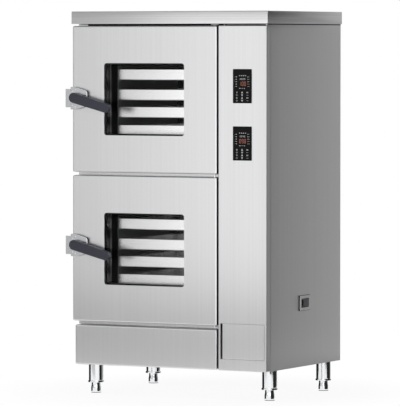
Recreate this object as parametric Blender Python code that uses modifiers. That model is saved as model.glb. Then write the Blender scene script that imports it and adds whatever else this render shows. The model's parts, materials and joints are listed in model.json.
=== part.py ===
"""Two-chamber commercial steam cabinet with windowed doors.

Cabinet coordinates: X = 0 at the middle of the body, Y = 0 at the front plane of the doors and of the
control column, Z = 0 on the floor; +X is the cabinet's right, +Y its back, and lengths are in metres.
One empty carries the whole cabinet, so that the origin lies under the middle of its overall box.
"""

import math

import bmesh
import bpy
from mathutils import Matrix, Vector

# Sheet work and clearances
SHEET = 0.0015
FIT = 0.0003
OVERRUN = 0.004
FOLD_RADIUS = 0.002

# Body
BODY_WIDTH = 0.900
BODY_DEPTH = 0.700
BODY_HEIGHT = 1.415
LEG_HEIGHT = 0.125
CAP_HEIGHT = 0.052
CAP_OVERHANG = 0.005
CAP_LIP = 0.020
CAP_FOLD_RADIUS = 0.003
CAP_GAP = 0.008
SIDE_FLANGE = 0.020
RIGHT_SEAM_Y = 0.035
BASE_WALL = 0.002
BASE_FLANGE = 0.038
FRAME_Y = 0.054
FRAME_DEPTH = 0.020
KICK_HEIGHT = 0.165
KICK_SETBACK = 0.011
KICK_INSET = 0.005
KICK_GAP = 0.017
BACK_REACH = 0.035

# Control column
COLUMN_WIDTH = 0.220
COLUMN_GAP = 0.008
COLUMN_FOLD_RADIUS = 0.003
CONTROLLER_WIDTH = 0.085
CONTROLLER_HEIGHT = 0.139
CONTROLLER_PROUD = 0.0025
CONTROLLER_RADIUS = 0.002
CONTROLLER_BODY_DEPTH = 0.040
CONTROLLER_BEZEL_LAP = 0.004
UPPER_CONTROLLER_DROP = 0.246
CONTROLLER_PITCH = 0.233
FLAP_HEIGHT = 0.145
FLAP_DEPTH = 0.015
FLAP_GAP = 0.0005
FLAP_HINGE_GAP = 0.0012
FLAP_SLOT = 0.009
FLAP_BOTTOM = 0.047
FLAP_EDGE_MARGIN = 0.0116
FLAP_SIDE_MARGIN = 0.0094
FLAP_PIVOT_INSET = 0.008
FLAP_PIVOT_DEPTH = 0.003

# Doors
DOOR_GAP = 0.013
DOOR_DEPTH = 0.050
DOOR_FOLD_RADIUS = 0.006
LINER_FLANGE = 0.012
WINDOW_WIDTH = 0.373
WINDOW_HEIGHT = 0.298
WINDOW_RADIUS = 0.011
SURROUND_LAP = 0.009
SURROUND_STEP = 0.006
GLASS_SETBACK = 0.0095
GLASS_THICKNESS = 0.004
GASKET_INSET = 0.004
GASKET_WIDTH = 0.014
GASKET_RADIUS = 0.020

# Door pivots
PIVOT_INSET = 0.015
PIVOT_DEPTH = 0.013
PIVOT_PIN_RADIUS = 0.005
PIVOT_PIN_PLAY = 0.0004
PIVOT_PIN_LENGTH = 0.016
BRACKET_THICKNESS = 0.004
BRACKET_WIDTH = 0.034
BRACKET_INSET = 0.010
BRACKET_OVERHANG = 0.007

# Door latches
LATCH_RISES = {"upper": 0.0035, "lower": 0.0125}
LATCH_BASE_WIDTH = 0.078
LATCH_BASE_HEIGHT = 0.094
LATCH_BASE_THICKNESS = 0.017
LATCH_BASE_SHOULDER = 0.022
LATCH_BASE_NOSE_HEIGHT = 0.062
LATCH_BASE_SHOULDER_ROUND = 0.014
LATCH_BASE_ROUND = 0.009
LATCH_BASE_CORNER = 0.004
LATCH_EDGE_RADIUS = 0.003
LATCH_PIVOT_INSET = 0.033
SPINDLE_RADIUS = 0.010
SPINDLE_PLAY = 0.0004
LEVER_NOSE = 0.030
LEVER_REACH = 0.170
LEVER_THICKNESS = 0.024
LEVER_LIFT = 0.0025
LEVER_ROOT_WIDTH = 0.042
LEVER_TIP_WIDTH = 0.038
LEVER_DROOP = math.radians(15.5)
KEEPER_HEIGHT = 0.0765
KEEPER_REACH = 0.025
KEEPER_SHEET = 0.002
KEEPER_FRONT = 0.014
KEEPER_CLEARANCE = 0.0015
KEEPER_LEG = 0.118
KEEPER_JOG = 0.006

# Chambers, racks and trays
CHAMBER_FOLD_RADIUS = 0.006
CHAMBER_MARGIN = 0.043
CHAMBER_SIDE_MARGIN = 0.046
STEAM_PORT_RADIUS = 0.012
TRAY_WIDTH = 0.325
TRAY_BACK_GAP = 0.0339
TRAY_HEIGHT = 0.045
TRAY_WALL = 0.001
TRAY_FOLD_RADIUS = 0.006
TRAY_FRONT_Y = 0.076
TRAY_RIMS = (0.1953, 0.2704, 0.3429, 0.4265)
RACK_PLAY = 0.0015
RACK_SETBACK = 0.004
RACK_LEDGE = 0.008
RACK_LEDGE_THICKNESS = 0.002
RACK_BAR = 0.010
RACK_EDGE = 0.002
RACK_TOP_RISE = 0.015

# Legs
LEG_INSET_X = 0.045
LEG_INSET_BACK = 0.069
LEG_INSET_FRONT = 0.120
LEG_RADIUS = 0.0305
LEG_LIP_RADIUS = 0.0335
LEG_LIP_HEIGHT = 0.006
LEG_BOTTOM = 0.044
LEG_ROOF = 0.006
FOOT_RADIUS = 0.021
FOOT_NECK_RADIUS = 0.019
FOOT_PLAY = 0.0005
FOOT_CHAMFER = 0.002
FOOT_TAPER_HEIGHT = 0.012
FOOT_INSERTION = 0.040

# Services
PORT_Y = 0.350
PORT_Z = 0.388
PORT_WIDTH = 0.096
PORT_HEIGHT = 0.061
PORT_PROUD = 0.006
PORT_RIM = 0.010
PORT_DEPTH = 0.028
PORT_FLOOR = 0.002
PORT_RADIUS = 0.003
GLAND_RADIUS = 0.013
GLAND_NUT_RADIUS = 0.017
GLAND_NUT_LENGTH = 0.008
GLAND_LENGTH = 0.020
BOILER_SIDE_GAP = 0.030
BOILER_Y = 0.420
BOILER_TOP_GAP = 0.063
BOILER_DOME = 0.030
BOILER_WALL = 0.002
BOILER_PORT_RADIUS = 0.010
PIPE_RADIUS = 0.014
PIPE_FLANGE_RADIUS = 0.026
PIPE_FLANGE_THICKNESS = 0.004
PIPE_WALL = 0.002
DRAIN_Z = 0.240
DRAIN_Y = 0.095
DRAIN_BODY_RADIUS = 0.018
DRAIN_BODY_LENGTH = 0.050
DRAIN_STEM_RADIUS = 0.006
DRAIN_STEM_LENGTH = 0.012
DRAIN_LEVER_LENGTH = 0.070
DRAIN_LEVER_WIDTH = 0.014
DRAIN_LEVER_THICKNESS = 0.004
DRAIN_LEVER_ROUND = 0.006
DRAIN_SPOUT_LENGTH = 0.045
INLET_Z = 0.300
INLET_RADIUS = 0.0105
INLET_NUT_RADIUS = 0.017
INLET_NUT_LENGTH = 0.010
DUCT_WIDTH = 0.060
DUCT_DEPTH = 0.048
DUCT_BACK_CLEARANCE = 0.010
VENT_RADIUS = 0.025
VENT_WALL = 0.002
VENT_PLATE_RADIUS = 0.042
VENT_DROP = 0.060

# Facets: segments of quarter rounds and of full turns
CORNER_SEGMENTS = 3
FOLD_SEGMENTS = 2
TURN_STEPS = 24
SMALL_TURN_STEPS = 16
NUT_SIDES = 6
SHARP_ANGLE = math.radians(35.0)
MERGE = 0.0001

# Derived places in cabinet coordinates
LEFT = -BODY_WIDTH / 2
RIGHT = BODY_WIDTH / 2
BODY_BOTTOM = LEG_HEIGHT
BODY_TOP = BODY_BOTTOM + BODY_HEIGHT
CARCASS_TOP = BODY_TOP - FIT
COLUMN_LEFT = RIGHT - COLUMN_WIDTH
COLUMN_MID = (COLUMN_LEFT + RIGHT) / 2
DOOR_RIGHT = COLUMN_LEFT - COLUMN_GAP
DOOR_MID = (LEFT + DOOR_RIGHT) / 2
KICK_TOP = BODY_BOTTOM + KICK_HEIGHT
FRONT_TOP = BODY_TOP - CAP_GAP
LOWER_DOOR_BOTTOM = KICK_TOP + KICK_GAP
DOOR_HEIGHT = (FRONT_TOP - LOWER_DOOR_BOTTOM - DOOR_GAP) / 2
UPPER_DOOR_BOTTOM = LOWER_DOOR_BOTTOM + DOOR_HEIGHT + DOOR_GAP
DOOR_BOTTOMS = {"upper": UPPER_DOOR_BOTTOM, "lower": LOWER_DOOR_BOTTOM}
CHAMBER_HEIGHT = DOOR_HEIGHT - 2 * CHAMBER_MARGIN
CHAMBER_FRONT = FRAME_Y + SHEET + FIT
CHAMBER_LEFT = LEFT + CHAMBER_SIDE_MARGIN
CHAMBER_RIGHT = DOOR_RIGHT - CHAMBER_SIDE_MARGIN
CHAMBER_WIDTH = CHAMBER_RIGHT - CHAMBER_LEFT
PIVOT_X = DOOR_RIGHT - PIVOT_INSET
PANEL_BACK = BODY_DEPTH - SHEET - FIT
DUCT_FRONT = PANEL_BACK - DUCT_BACK_CLEARANCE - DUCT_DEPTH
CHAMBER_BACK = DUCT_FRONT - FIT
TRAY_BACK = CHAMBER_BACK - TRAY_BACK_GAP
TRAY_DEPTH = TRAY_BACK - TRAY_FRONT_Y
DIVIDER_LEFT = COLUMN_LEFT + SHEET + FIT
LATCH_PIVOT_X = LEFT + LATCH_PIVOT_INSET
LEVER_BACK = -(LATCH_BASE_THICKNESS + FIT + LEVER_LIFT)
LEVER_FRONT = LEVER_BACK - LEVER_THICKNESS
FLAP_RIGHT = RIGHT - FLAP_EDGE_MARGIN
FLAP_LEFT = COLUMN_LEFT + FLAP_SIDE_MARGIN + FLAP_SLOT
FLAP_LOW = BODY_BOTTOM + FLAP_BOTTOM
FLAP_PIVOT_X = FLAP_RIGHT - FLAP_PIVOT_INSET
BOILER_BOTTOM = BODY_BOTTOM + BASE_WALL + FIT
BOILER_TOP = LOWER_DOOR_BOTTOM + DOOR_HEIGHT / 2 - BOILER_TOP_GAP
BOILER_HEIGHT = BOILER_TOP - BOILER_BOTTOM
BOILER_RADIUS = COLUMN_WIDTH / 2 - BOILER_SIDE_GAP

# The origin lies under the middle of the overall box
ORIGIN_X = (KEEPER_REACH - PORT_PROUD) / 2
ORIGIN_Y = -(BODY_DEPTH + BACK_REACH + LEVER_FRONT) / 2


def clear_scene():
    """Remove the objects and collections of the open file."""
    for obj in list(bpy.data.objects):
        bpy.data.objects.remove(obj, do_unlink=True)
    for collection in list(bpy.data.collections):
        bpy.data.collections.remove(collection)


def new_collection(name):
    """Make a collection in the scene."""
    collection = bpy.data.collections.new(name)
    bpy.context.scene.collection.children.link(collection)
    return collection


def new_material(name, colour, roughness, metallic):
    """Make a Principled material."""
    material = bpy.data.materials.new(name)
    material.use_nodes = True
    shader = material.node_tree.nodes["Principled BSDF"]
    shader.inputs["Base Color"].default_value = (*colour, 1.0)
    shader.inputs["Roughness"].default_value = roughness
    shader.inputs["Metallic"].default_value = metallic
    material.diffuse_color = (*colour, 1.0)
    return material


clear_scene()
PARTS = new_collection("steam_cabinet")
CUTTERS = new_collection("cutters")

MATERIALS = {
    "brushed_steel": new_material("brushed_steel", (0.62, 0.62, 0.62), 0.32, 1.0),
    "side_steel": new_material("side_steel", (0.50, 0.50, 0.50), 0.42, 1.0),
    "tray_steel": new_material("tray_steel", (0.80, 0.80, 0.80), 0.25, 1.0),
    "dark_steel": new_material("dark_steel", (0.08, 0.08, 0.09), 0.55, 0.6),
    "chrome": new_material("chrome", (0.82, 0.82, 0.84), 0.12, 1.0),
    "brass": new_material("brass", (0.66, 0.52, 0.26), 0.35, 1.0),
    "black_plastic": new_material("black_plastic", (0.012, 0.012, 0.013), 0.30, 0.0),
    "lever_plastic": new_material("lever_plastic", (0.055, 0.055, 0.075), 0.45, 0.0),
    "black_rubber": new_material("black_rubber", (0.010, 0.010, 0.010), 0.70, 0.0),
    "glass": new_material("glass", (0.85, 0.88, 0.88), 0.02, 0.0),
}


def new_empty(name, place, parent=None):
    """Make an empty at a place in cabinet coordinates."""
    empty = bpy.data.objects.new(name, None)
    PARTS.objects.link(empty)
    empty.parent = parent
    empty.location = place
    return empty


ROOT = new_empty("cabinet_origin", (ORIGIN_X, ORIGIN_Y, 0))


class Body:
    """A rigid body: the empty that carries its pieces, and the place of that empty in cabinet coordinates."""

    def __init__(self, empty, place):
        self.empty = empty
        self.place = Vector(place)

    def child(self, name, place):
        """Make a body that turns on this one, with its empty on the joint's axis."""
        place = Vector(place)
        return Body(new_empty(name, place - self.place, self.empty), place)


CABINET = Body(ROOT, (0, 0, 0))


def new_object(name, bm, material, body=CABINET, turn=None, turn_centre=(0, 0, 0)):
    """Put a mesh made in cabinet coordinates on a body, with its origin at the body's axis."""
    if turn is not None:
        centre = Vector(turn_centre)
        about = Matrix.Translation(centre) @ turn @ Matrix.Translation(-centre)
        bmesh.ops.transform(bm, matrix=about, verts=bm.verts)
    bmesh.ops.translate(bm, vec=-body.place, verts=bm.verts)
    mesh = bpy.data.meshes.new(name)
    bm.to_mesh(mesh)
    bm.free()
    mesh.shade_smooth()
    mesh.set_sharp_from_angle(angle=SHARP_ANGLE)
    mesh.materials.append(MATERIALS[material])
    obj = bpy.data.objects.new(name, mesh)
    PARTS.objects.link(obj)
    obj.parent = body.empty
    return obj


def new_cutter(name, bm):
    """Make a hidden object that cuts or joins, from a mesh in cabinet coordinates."""
    mesh = bpy.data.meshes.new(name)
    bm.to_mesh(mesh)
    bm.free()
    cutter = bpy.data.objects.new(name, mesh)
    CUTTERS.objects.link(cutter)
    cutter.parent = ROOT
    cutter.hide_render = True
    cutter.display_type = "WIRE"
    return cutter


def combine(obj, operation, bm):
    """Cut a mesh from an object, or join it on, with a Boolean modifier."""
    label = f"{obj.name}_{operation.lower()}_{len(obj.modifiers)}"
    modifier = obj.modifiers.new(label, "BOOLEAN")
    modifier.operation = operation
    modifier.solver = "EXACT"
    modifier.object = new_cutter(label, bm)


def cut(obj, bm):
    """Cut a mesh out of an object."""
    combine(obj, "DIFFERENCE", bm)


def join(obj, bm):
    """Join a mesh to an object."""
    combine(obj, "UNION", bm)


def block(low, high, along=None, radius=0.0, segments=CORNER_SEGMENTS):
    """A box between two corners, whose edges along one axis may be rounded."""
    low, high = Vector(low), Vector(high)
    bm = bmesh.new()
    bmesh.ops.create_cube(bm, size=1)
    bmesh.ops.scale(bm, vec=high - low, verts=bm.verts)
    bmesh.ops.translate(bm, vec=(low + high) / 2, verts=bm.verts)
    if along is not None:
        axis = "XYZ".index(along)
        edges = [e for e in bm.edges if is_along(e, axis)]
        round_edges(bm, edges, radius, segments)
    return bm


def is_along(edge, axis):
    """Whether an edge runs along a world axis."""
    run = edge.verts[1].co - edge.verts[0].co
    return abs(run[axis]) > run.length * 0.999


def round_edges(bm, edges, radius, segments):
    """Round edges with circular arcs."""
    bmesh.ops.bevel(
        bm, geom=edges, offset=radius, offset_type="OFFSET", segments=segments,
        profile=0.5, affect="EDGES", clamp_overlap=True,
    )


def round_face_rim(bm, direction, radius, segments):
    """Round the rim of the face that looks along a direction."""
    direction = Vector(direction)
    bm.normal_update()
    face = max(bm.faces, key=lambda f: f.normal.dot(direction) * f.calc_area())
    round_edges(bm, list(face.edges), radius, segments)


def sheet_pan(name, low, high, open_sides, material, body=CABINET, radius=FOLD_RADIUS, wall=SHEET,
              segments=FOLD_SEGMENTS):
    """A folded sheet: a box without its open sides, with rounded folds, thickened inwards."""
    bm = block(low, high)
    bm.normal_update()
    outward = [Vector([int(side[0] + "1") * (axis == side[1]) for axis in "XYZ"]) for side in open_sides]
    gone = [f for f in bm.faces if any(f.normal.dot(v) > 0.5 for v in outward)]
    bmesh.ops.delete(bm, geom=gone, context="FACES")
    round_edges(bm, [e for e in bm.edges if len(e.link_faces) == 2], radius, segments)
    obj = new_object(name, bm, material, body)
    thicken(obj, wall)
    return obj


def thicken(obj, wall):
    """Give an open surface its sheet thickness, on the side away from its normals."""
    solidify = obj.modifiers.new("sheet", "SOLIDIFY")
    solidify.thickness = wall
    solidify.offset = -1.0
    solidify.use_even_offset = True
    solidify.use_quality_normals = True
    return solidify


def rod(centre, direction, radius, length, steps=TURN_STEPS):
    """A cylinder that starts at a centre and runs along a direction."""
    direction = Vector(direction).normalized()
    bm = bmesh.new()
    bmesh.ops.create_cone(
        bm, cap_ends=True, segments=steps, radius1=radius, radius2=radius, depth=length,
    )
    turn = Vector((0, 0, 1)).rotation_difference(direction).to_matrix().to_4x4()
    middle = Vector(centre) + direction * (length / 2)
    bmesh.ops.transform(bm, matrix=Matrix.Translation(middle) @ turn, verts=bm.verts)
    return bm


def turned(name, profile, centre, material, body, steps=TURN_STEPS, closed=True):
    """A turned piece about a vertical axis, from a profile of radius and height pairs."""
    bm = bmesh.new()
    points = [bm.verts.new(Vector((r, 0, z)) + Vector(centre)) for r, z in profile]
    ends = points[1:] + points[:1] if closed else points[1:]
    for start, end in zip(points, ends):
        bm.edges.new((start, end))
    obj = new_object(name, bm, material, body)
    offset = Vector(centre) - body.place
    obj.data.transform(Matrix.Translation(-offset))
    obj.location = offset
    screw = obj.modifiers.new("turn", "SCREW")
    screw.axis = "Z"
    screw.steps = steps
    screw.render_steps = steps
    screw.use_merge_vertices = True
    screw.merge_threshold = MERGE
    screw.use_smooth_shade = True
    return obj


def plan_strip(name, path, low, high, material, body=CABINET, wall=SHEET):
    """A strip folded along a path of X and Y places, standing between two heights."""
    bm = bmesh.new()
    verts = [bm.verts.new((x, y, low)) for x, y in path]
    edges = [bm.edges.new(pair) for pair in zip(verts, verts[1:])]
    grown = bmesh.ops.extrude_edge_only(bm, edges=edges)["geom"]
    raised = [item for item in grown if isinstance(item, bmesh.types.BMVert)]
    bmesh.ops.translate(bm, vec=(0, 0, high - low), verts=raised)
    obj = new_object(name, bm, material, body)
    thicken(obj, wall)
    return obj


def window_box(middle_z, shrink, front, back, radius):
    """A rounded block through the middle of a door, smaller than the window all round by a margin."""
    half = Vector((WINDOW_WIDTH / 2 - shrink, 0, WINDOW_HEIGHT / 2 - shrink))
    centre = Vector((DOOR_MID, 0, middle_z))
    low = centre - half + Vector((0, front, 0))
    high = centre + half + Vector((0, back, 0))
    return block(low, high, "Y", radius)


def make_top_cover():
    """The box cap: a folded tray turned down over the body, with a lip turned in underneath."""
    low = Vector((LEFT - CAP_OVERHANG, 0, BODY_TOP))
    high = Vector((RIGHT + CAP_OVERHANG, BODY_DEPTH + CAP_OVERHANG, BODY_TOP + CAP_HEIGHT))
    bm = block(low, high)
    upper = [e for e in bm.edges if max(v.co.z for v in e.verts) > low.z + CAP_HEIGHT / 2]
    round_edges(bm, upper, CAP_FOLD_RADIUS, FOLD_SEGMENTS)
    cover = new_object("top_cover", bm, "brushed_steel")
    wall = Vector((SHEET, SHEET, SHEET))
    cut(cover, block(low + wall, high - wall))
    lip = Vector((CAP_LIP, CAP_LIP, 0))
    drop = Vector((0, 0, OVERRUN))
    cut(cover, block(low + lip - drop, Vector((high.x, high.y, low.z)) - lip + drop))


def make_side_panels():
    """The two side skins, folded in at front, back and top.

    The right one has the port's cut-out and a tab that closes the gap over the fascia from the side.
    """
    front = FRAME_Y + FRAME_DEPTH + FIT
    sheet_pan(
        "left_side_panel", (LEFT, front, BODY_BOTTOM), (LEFT + SIDE_FLANGE, PANEL_BACK, CARCASS_TOP),
        ("+X", "-Z"), "side_steel",
    )
    right = sheet_pan(
        "right_side_panel", (RIGHT - SIDE_FLANGE, RIGHT_SEAM_Y, BODY_BOTTOM),
        (RIGHT, PANEL_BACK, CARCASS_TOP), ("-X", "-Z"), "side_steel",
    )
    join(right, block(
        (RIGHT - SHEET, COLUMN_FOLD_RADIUS, FRONT_TOP + FIT),
        (RIGHT, RIGHT_SEAM_Y + SIDE_FLANGE, CARCASS_TOP - FOLD_RADIUS),
    ))
    half = Vector((0, PORT_WIDTH / 2 - PORT_RIM + FIT, PORT_HEIGHT / 2 - PORT_RIM + FIT))
    centre = Vector((RIGHT, PORT_Y, PORT_Z))
    reach = Vector((OVERRUN, 0, 0))
    cut(right, block(centre - half - reach, centre + half + reach))


def make_back_panel():
    """The flat back, with holes for the exhaust stub and the water inlet."""
    back = new_object(
        "back_panel",
        block((LEFT, PANEL_BACK + FIT, BODY_BOTTOM), (RIGHT, BODY_DEPTH, CARCASS_TOP)),
        "side_steel",
    )
    reach = SHEET + 2 * OVERRUN
    start = PANEL_BACK - OVERRUN
    for x, z, radius in ((DOOR_MID, vent_height(), VENT_RADIUS), (COLUMN_MID, INLET_Z, INLET_RADIUS)):
        cut(back, rod((x, start, z), (0, 1, 0), radius + FIT, reach))


def make_base_pan():
    """The floor of the body, folded up all round between the side skins."""
    edge = BODY_WIDTH / 2 - SHEET - FIT
    front = FRAME_Y + FRAME_DEPTH + SHEET + 2 * FIT
    sheet_pan(
        "base_pan", (-edge, front, BODY_BOTTOM), (edge, PANEL_BACK - SHEET - FIT, BODY_BOTTOM + BASE_FLANGE),
        ("+Z",), "side_steel", wall=BASE_WALL,
    )


def make_front_frame():
    """The body's front behind the doors, with one rounded opening for each chamber."""
    frame = sheet_pan(
        "front_frame", (LEFT, FRAME_Y, KICK_TOP + FIT), (COLUMN_LEFT + SHEET, FRAME_Y + FRAME_DEPTH, CARCASS_TOP),
        ("+Y",), "brushed_steel",
    )
    for bottom in DOOR_BOTTOMS.values():
        floor = bottom + CHAMBER_MARGIN
        cut(frame, block(
            (CHAMBER_LEFT, FRAME_Y - OVERRUN, floor),
            (CHAMBER_RIGHT, FRAME_Y + OVERRUN, floor + CHAMBER_HEIGHT), "Y", CHAMBER_FOLD_RADIUS - SHEET,
        ))


def make_kick_panel():
    """The panel under the lower door, a little narrower than the door and behind its front."""
    sheet_pan(
        "kick_panel", (LEFT + KICK_INSET, KICK_SETBACK, BODY_BOTTOM),
        (DOOR_RIGHT - KICK_INSET, FRAME_Y + FRAME_DEPTH, KICK_TOP), ("+Y",), "brushed_steel",
        radius=DOOR_FOLD_RADIUS,
    )


def controller_heights():
    """The middles of the two controllers."""
    upper = FRONT_TOP - UPPER_CONTROLLER_DROP
    return {"upper": upper, "lower": upper - CONTROLLER_PITCH}


def make_column():
    """The control column: its fascia with cut-outs, the wall beside the chambers and the controllers."""
    fascia = sheet_pan(
        "column_fascia", (COLUMN_LEFT, 0, BODY_BOTTOM), (RIGHT, RIGHT_SEAM_Y - FIT, FRONT_TOP),
        ("+Y",), "brushed_steel", radius=COLUMN_FOLD_RADIUS,
    )
    half = Vector((CONTROLLER_WIDTH / 2, 0, CONTROLLER_HEIGHT / 2))
    lap = Vector((CONTROLLER_BEZEL_LAP, 0, CONTROLLER_BEZEL_LAP))
    fit = Vector((FIT, 0, FIT))
    for name, middle in controller_heights().items():
        centre = Vector((COLUMN_MID, 0, middle))
        reach = Vector((0, OVERRUN, 0))
        cut(fascia, block(centre - half + lap - fit - reach, centre + half - lap + fit + reach))
        front = Vector((0, CONTROLLER_PROUD + FIT, 0))
        bezel = block(centre - half - front, centre + half - Vector((0, FIT, 0)), "Y", CONTROLLER_RADIUS)
        round_face_rim(bezel, (0, -1, 0), CONTROLLER_PROUD / 2, FOLD_SEGMENTS)
        controller = new_object(f"{name}_controller", bezel, "black_plastic")
        depth = Vector((0, CONTROLLER_BODY_DEPTH, 0))
        join(controller, block(centre - half + lap - front / 2, centre + half - lap + depth))
    cut(fascia, block(
        (FLAP_LEFT - FLAP_SLOT, -OVERRUN, FLAP_LOW - FLAP_GAP),
        (FLAP_RIGHT + FLAP_HINGE_GAP, OVERRUN, FLAP_LOW + FLAP_HEIGHT + FLAP_GAP),
    ))
    divider = new_object(
        "column_divider",
        block(
            (DIVIDER_LEFT, SHEET + FIT + COLUMN_FOLD_RADIUS, BODY_BOTTOM + BASE_FLANGE + FIT),
            (DIVIDER_LEFT + SHEET, PANEL_BACK - FIT, FRONT_TOP - SHEET - COLUMN_FOLD_RADIUS),
        ),
        "side_steel",
    )
    for z in steam_heights().values():
        cut(divider, rod(
            (DIVIDER_LEFT - OVERRUN, BOILER_Y, z), (1, 0, 0), PIPE_RADIUS + FIT, SHEET + 2 * OVERRUN,
        ))


def make_access_flap():
    """The flap over the drain valve, hinged at its right edge, with its body's empty on that axis."""
    body = CABINET.child("access_flap_axis", (FLAP_PIVOT_X, FLAP_PIVOT_DEPTH, FLAP_LOW))
    sheet_pan(
        "access_flap", (FLAP_LEFT, 0, FLAP_LOW), (FLAP_RIGHT, FLAP_DEPTH, FLAP_LOW + FLAP_HEIGHT),
        ("+Y",), "brushed_steel", body,
    )


def make_chamber(name, bottom):
    """One steam chamber: a folded box with rounded corners, a steam hole and an exhaust hole."""
    floor = bottom + CHAMBER_MARGIN
    wall = Vector((SHEET, 0, SHEET))
    chamber = sheet_pan(
        f"{name}_chamber", Vector((CHAMBER_LEFT, CHAMBER_FRONT, floor)) - wall,
        Vector((CHAMBER_RIGHT, CHAMBER_BACK, floor + CHAMBER_HEIGHT)) + wall,
        ("-Y",), "dark_steel", radius=CHAMBER_FOLD_RADIUS,
    )
    cut(chamber, rod(
        (CHAMBER_RIGHT - OVERRUN, BOILER_Y, steam_heights()[name]), (1, 0, 0), STEAM_PORT_RADIUS,
        2 * OVERRUN, SMALL_TURN_STEPS,
    ))
    cut(chamber, rod(
        (DOOR_MID, CHAMBER_BACK - OVERRUN, duct_heights()[name]), (0, 1, 0), VENT_RADIUS - VENT_WALL,
        2 * OVERRUN, SMALL_TURN_STEPS,
    ))


def make_rack(name, bottom):
    """A tray rack: two side sheets with a ledge pair for each tray, tied by cross bars."""
    inner = TRAY_WIDTH / 2 + RACK_PLAY
    front = TRAY_FRONT_Y + RACK_SETBACK
    back = TRAY_BACK + FIT + RACK_BAR + RACK_EDGE
    low = bottom + CHAMBER_MARGIN + FIT
    high = bottom + TRAY_RIMS[-1] + RACK_TOP_RISE
    left = DOOR_MID - inner
    right = DOOR_MID + inner
    rack = new_object(
        f"{name}_tray_rack", block((left - SHEET, front, low), (left, back, high)), "dark_steel",
    )
    join(rack, block((right, front, low), (right + SHEET, back, high)))
    bar_left = left - SHEET / 2
    bar_right = right + SHEET / 2
    bar_back = back - RACK_EDGE
    bar_low = low + RACK_EDGE
    for z in (bar_low, high - RACK_EDGE - RACK_BAR):
        join(rack, block((bar_left, TRAY_BACK + FIT, z), (bar_right, bar_back, z + RACK_BAR)))
    bar_front = front + RACK_EDGE
    join(rack, block((bar_left, bar_front, bar_low), (bar_right, bar_front + RACK_BAR, bar_low + RACK_BAR)))
    ledge_back = TRAY_BACK - RACK_EDGE
    for rim in TRAY_RIMS:
        ledge_top = bottom + rim - TRAY_HEIGHT - FIT
        ledge_low = ledge_top - RACK_LEDGE_THICKNESS
        join(rack, block((bar_left, bar_front, ledge_low), (left + RACK_LEDGE, ledge_back, ledge_top)))
        join(rack, block((right - RACK_LEDGE, bar_front, ledge_low), (bar_right, ledge_back, ledge_top)))


def make_trays(name, bottom):
    """The trays of one chamber, which share one mesh."""
    shared = None
    for number, rim in enumerate(TRAY_RIMS, start=1):
        place = Vector((DOOR_MID, TRAY_FRONT_Y, bottom + rim - TRAY_HEIGHT))
        body = Body(ROOT, place)
        half = Vector((TRAY_WIDTH / 2, 0, 0))
        tray = sheet_pan(
            f"{name}_tray_{number}", place - half, place + half + Vector((0, TRAY_DEPTH, TRAY_HEIGHT)),
            ("+Z",), "tray_steel", body, TRAY_FOLD_RADIUS, TRAY_WALL,
        )
        tray.location = place
        shared = shared or tray.data
        tray.data = shared


def make_door(name, bottom):
    """One door with its window, seals and latch, on an empty at its pivot axis."""
    top = bottom + DOOR_HEIGHT
    middle = (bottom + top) / 2
    body = CABINET.child(f"{name}_door_axis", (PIVOT_X, PIVOT_DEPTH, bottom))
    skin = sheet_pan(
        f"{name}_door_skin", (LEFT, 0, bottom), (DOOR_RIGHT, DOOR_DEPTH, top), ("+Y",), "brushed_steel",
        body, DOOR_FOLD_RADIUS,
    )
    cut(skin, window_box(middle, 0, -OVERRUN, OVERRUN, WINDOW_RADIUS))
    for z in (bottom - OVERRUN, top - SHEET - OVERRUN):
        cut(skin, rod(
            (PIVOT_X, PIVOT_DEPTH, z), (0, 0, 1), PIVOT_PIN_RADIUS + PIVOT_PIN_PLAY, SHEET + 2 * OVERRUN,
        ))
    inset = SHEET + FIT
    liner = sheet_pan(
        f"{name}_door_liner", (LEFT + inset, DOOR_DEPTH - LINER_FLANGE, bottom + inset),
        (DOOR_RIGHT - inset, DOOR_DEPTH, top - inset), ("-Y",), "brushed_steel", body,
        DOOR_FOLD_RADIUS - SHEET,
    )
    inner_radius = WINDOW_RADIUS - SURROUND_STEP
    cut(liner, window_box(middle, SURROUND_STEP, DOOR_DEPTH - OVERRUN, DOOR_DEPTH + OVERRUN, inner_radius))
    glass_back = GLASS_SETBACK + GLASS_THICKNESS
    surround = new_object(
        f"{name}_window_surround",
        window_box(middle, -SURROUND_LAP, inset, DOOR_DEPTH - inset, WINDOW_RADIUS), "black_plastic", body,
    )
    cut(surround, window_box(middle, 0, 0, glass_back + FIT, WINDOW_RADIUS))
    cut(surround, window_box(middle, SURROUND_STEP, 0, DOOR_DEPTH, inner_radius))
    new_object(
        f"{name}_window_glass",
        window_box(middle, FIT, GLASS_SETBACK, glass_back, WINDOW_RADIUS - FIT), "glass", body,
    )
    make_gasket(name, middle, body)
    make_latch(name, middle + LATCH_RISES[name], body)


def make_gasket(name, middle, body):
    """The door seal: a ring of rubber round the chamber's mouth."""
    half = Vector((CHAMBER_WIDTH / 2 + GASKET_INSET, 0, CHAMBER_HEIGHT / 2 + GASKET_INSET))
    width = Vector((GASKET_WIDTH, 0, GASKET_WIDTH))
    centre = Vector((DOOR_MID, 0, middle))
    front = Vector((0, DOOR_DEPTH + FIT, 0))
    back = Vector((0, FRAME_Y - FIT, 0))
    gasket = new_object(
        f"{name}_door_gasket",
        block(centre - half - width + front, centre + half + width + back, "Y", GASKET_RADIUS),
        "black_rubber", body,
    )
    reach = Vector((0, OVERRUN, 0))
    cut(gasket, block(
        centre - half + front - reach, centre + half + back + reach, "Y", GASKET_RADIUS - GASKET_WIDTH / 2,
    ))


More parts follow.
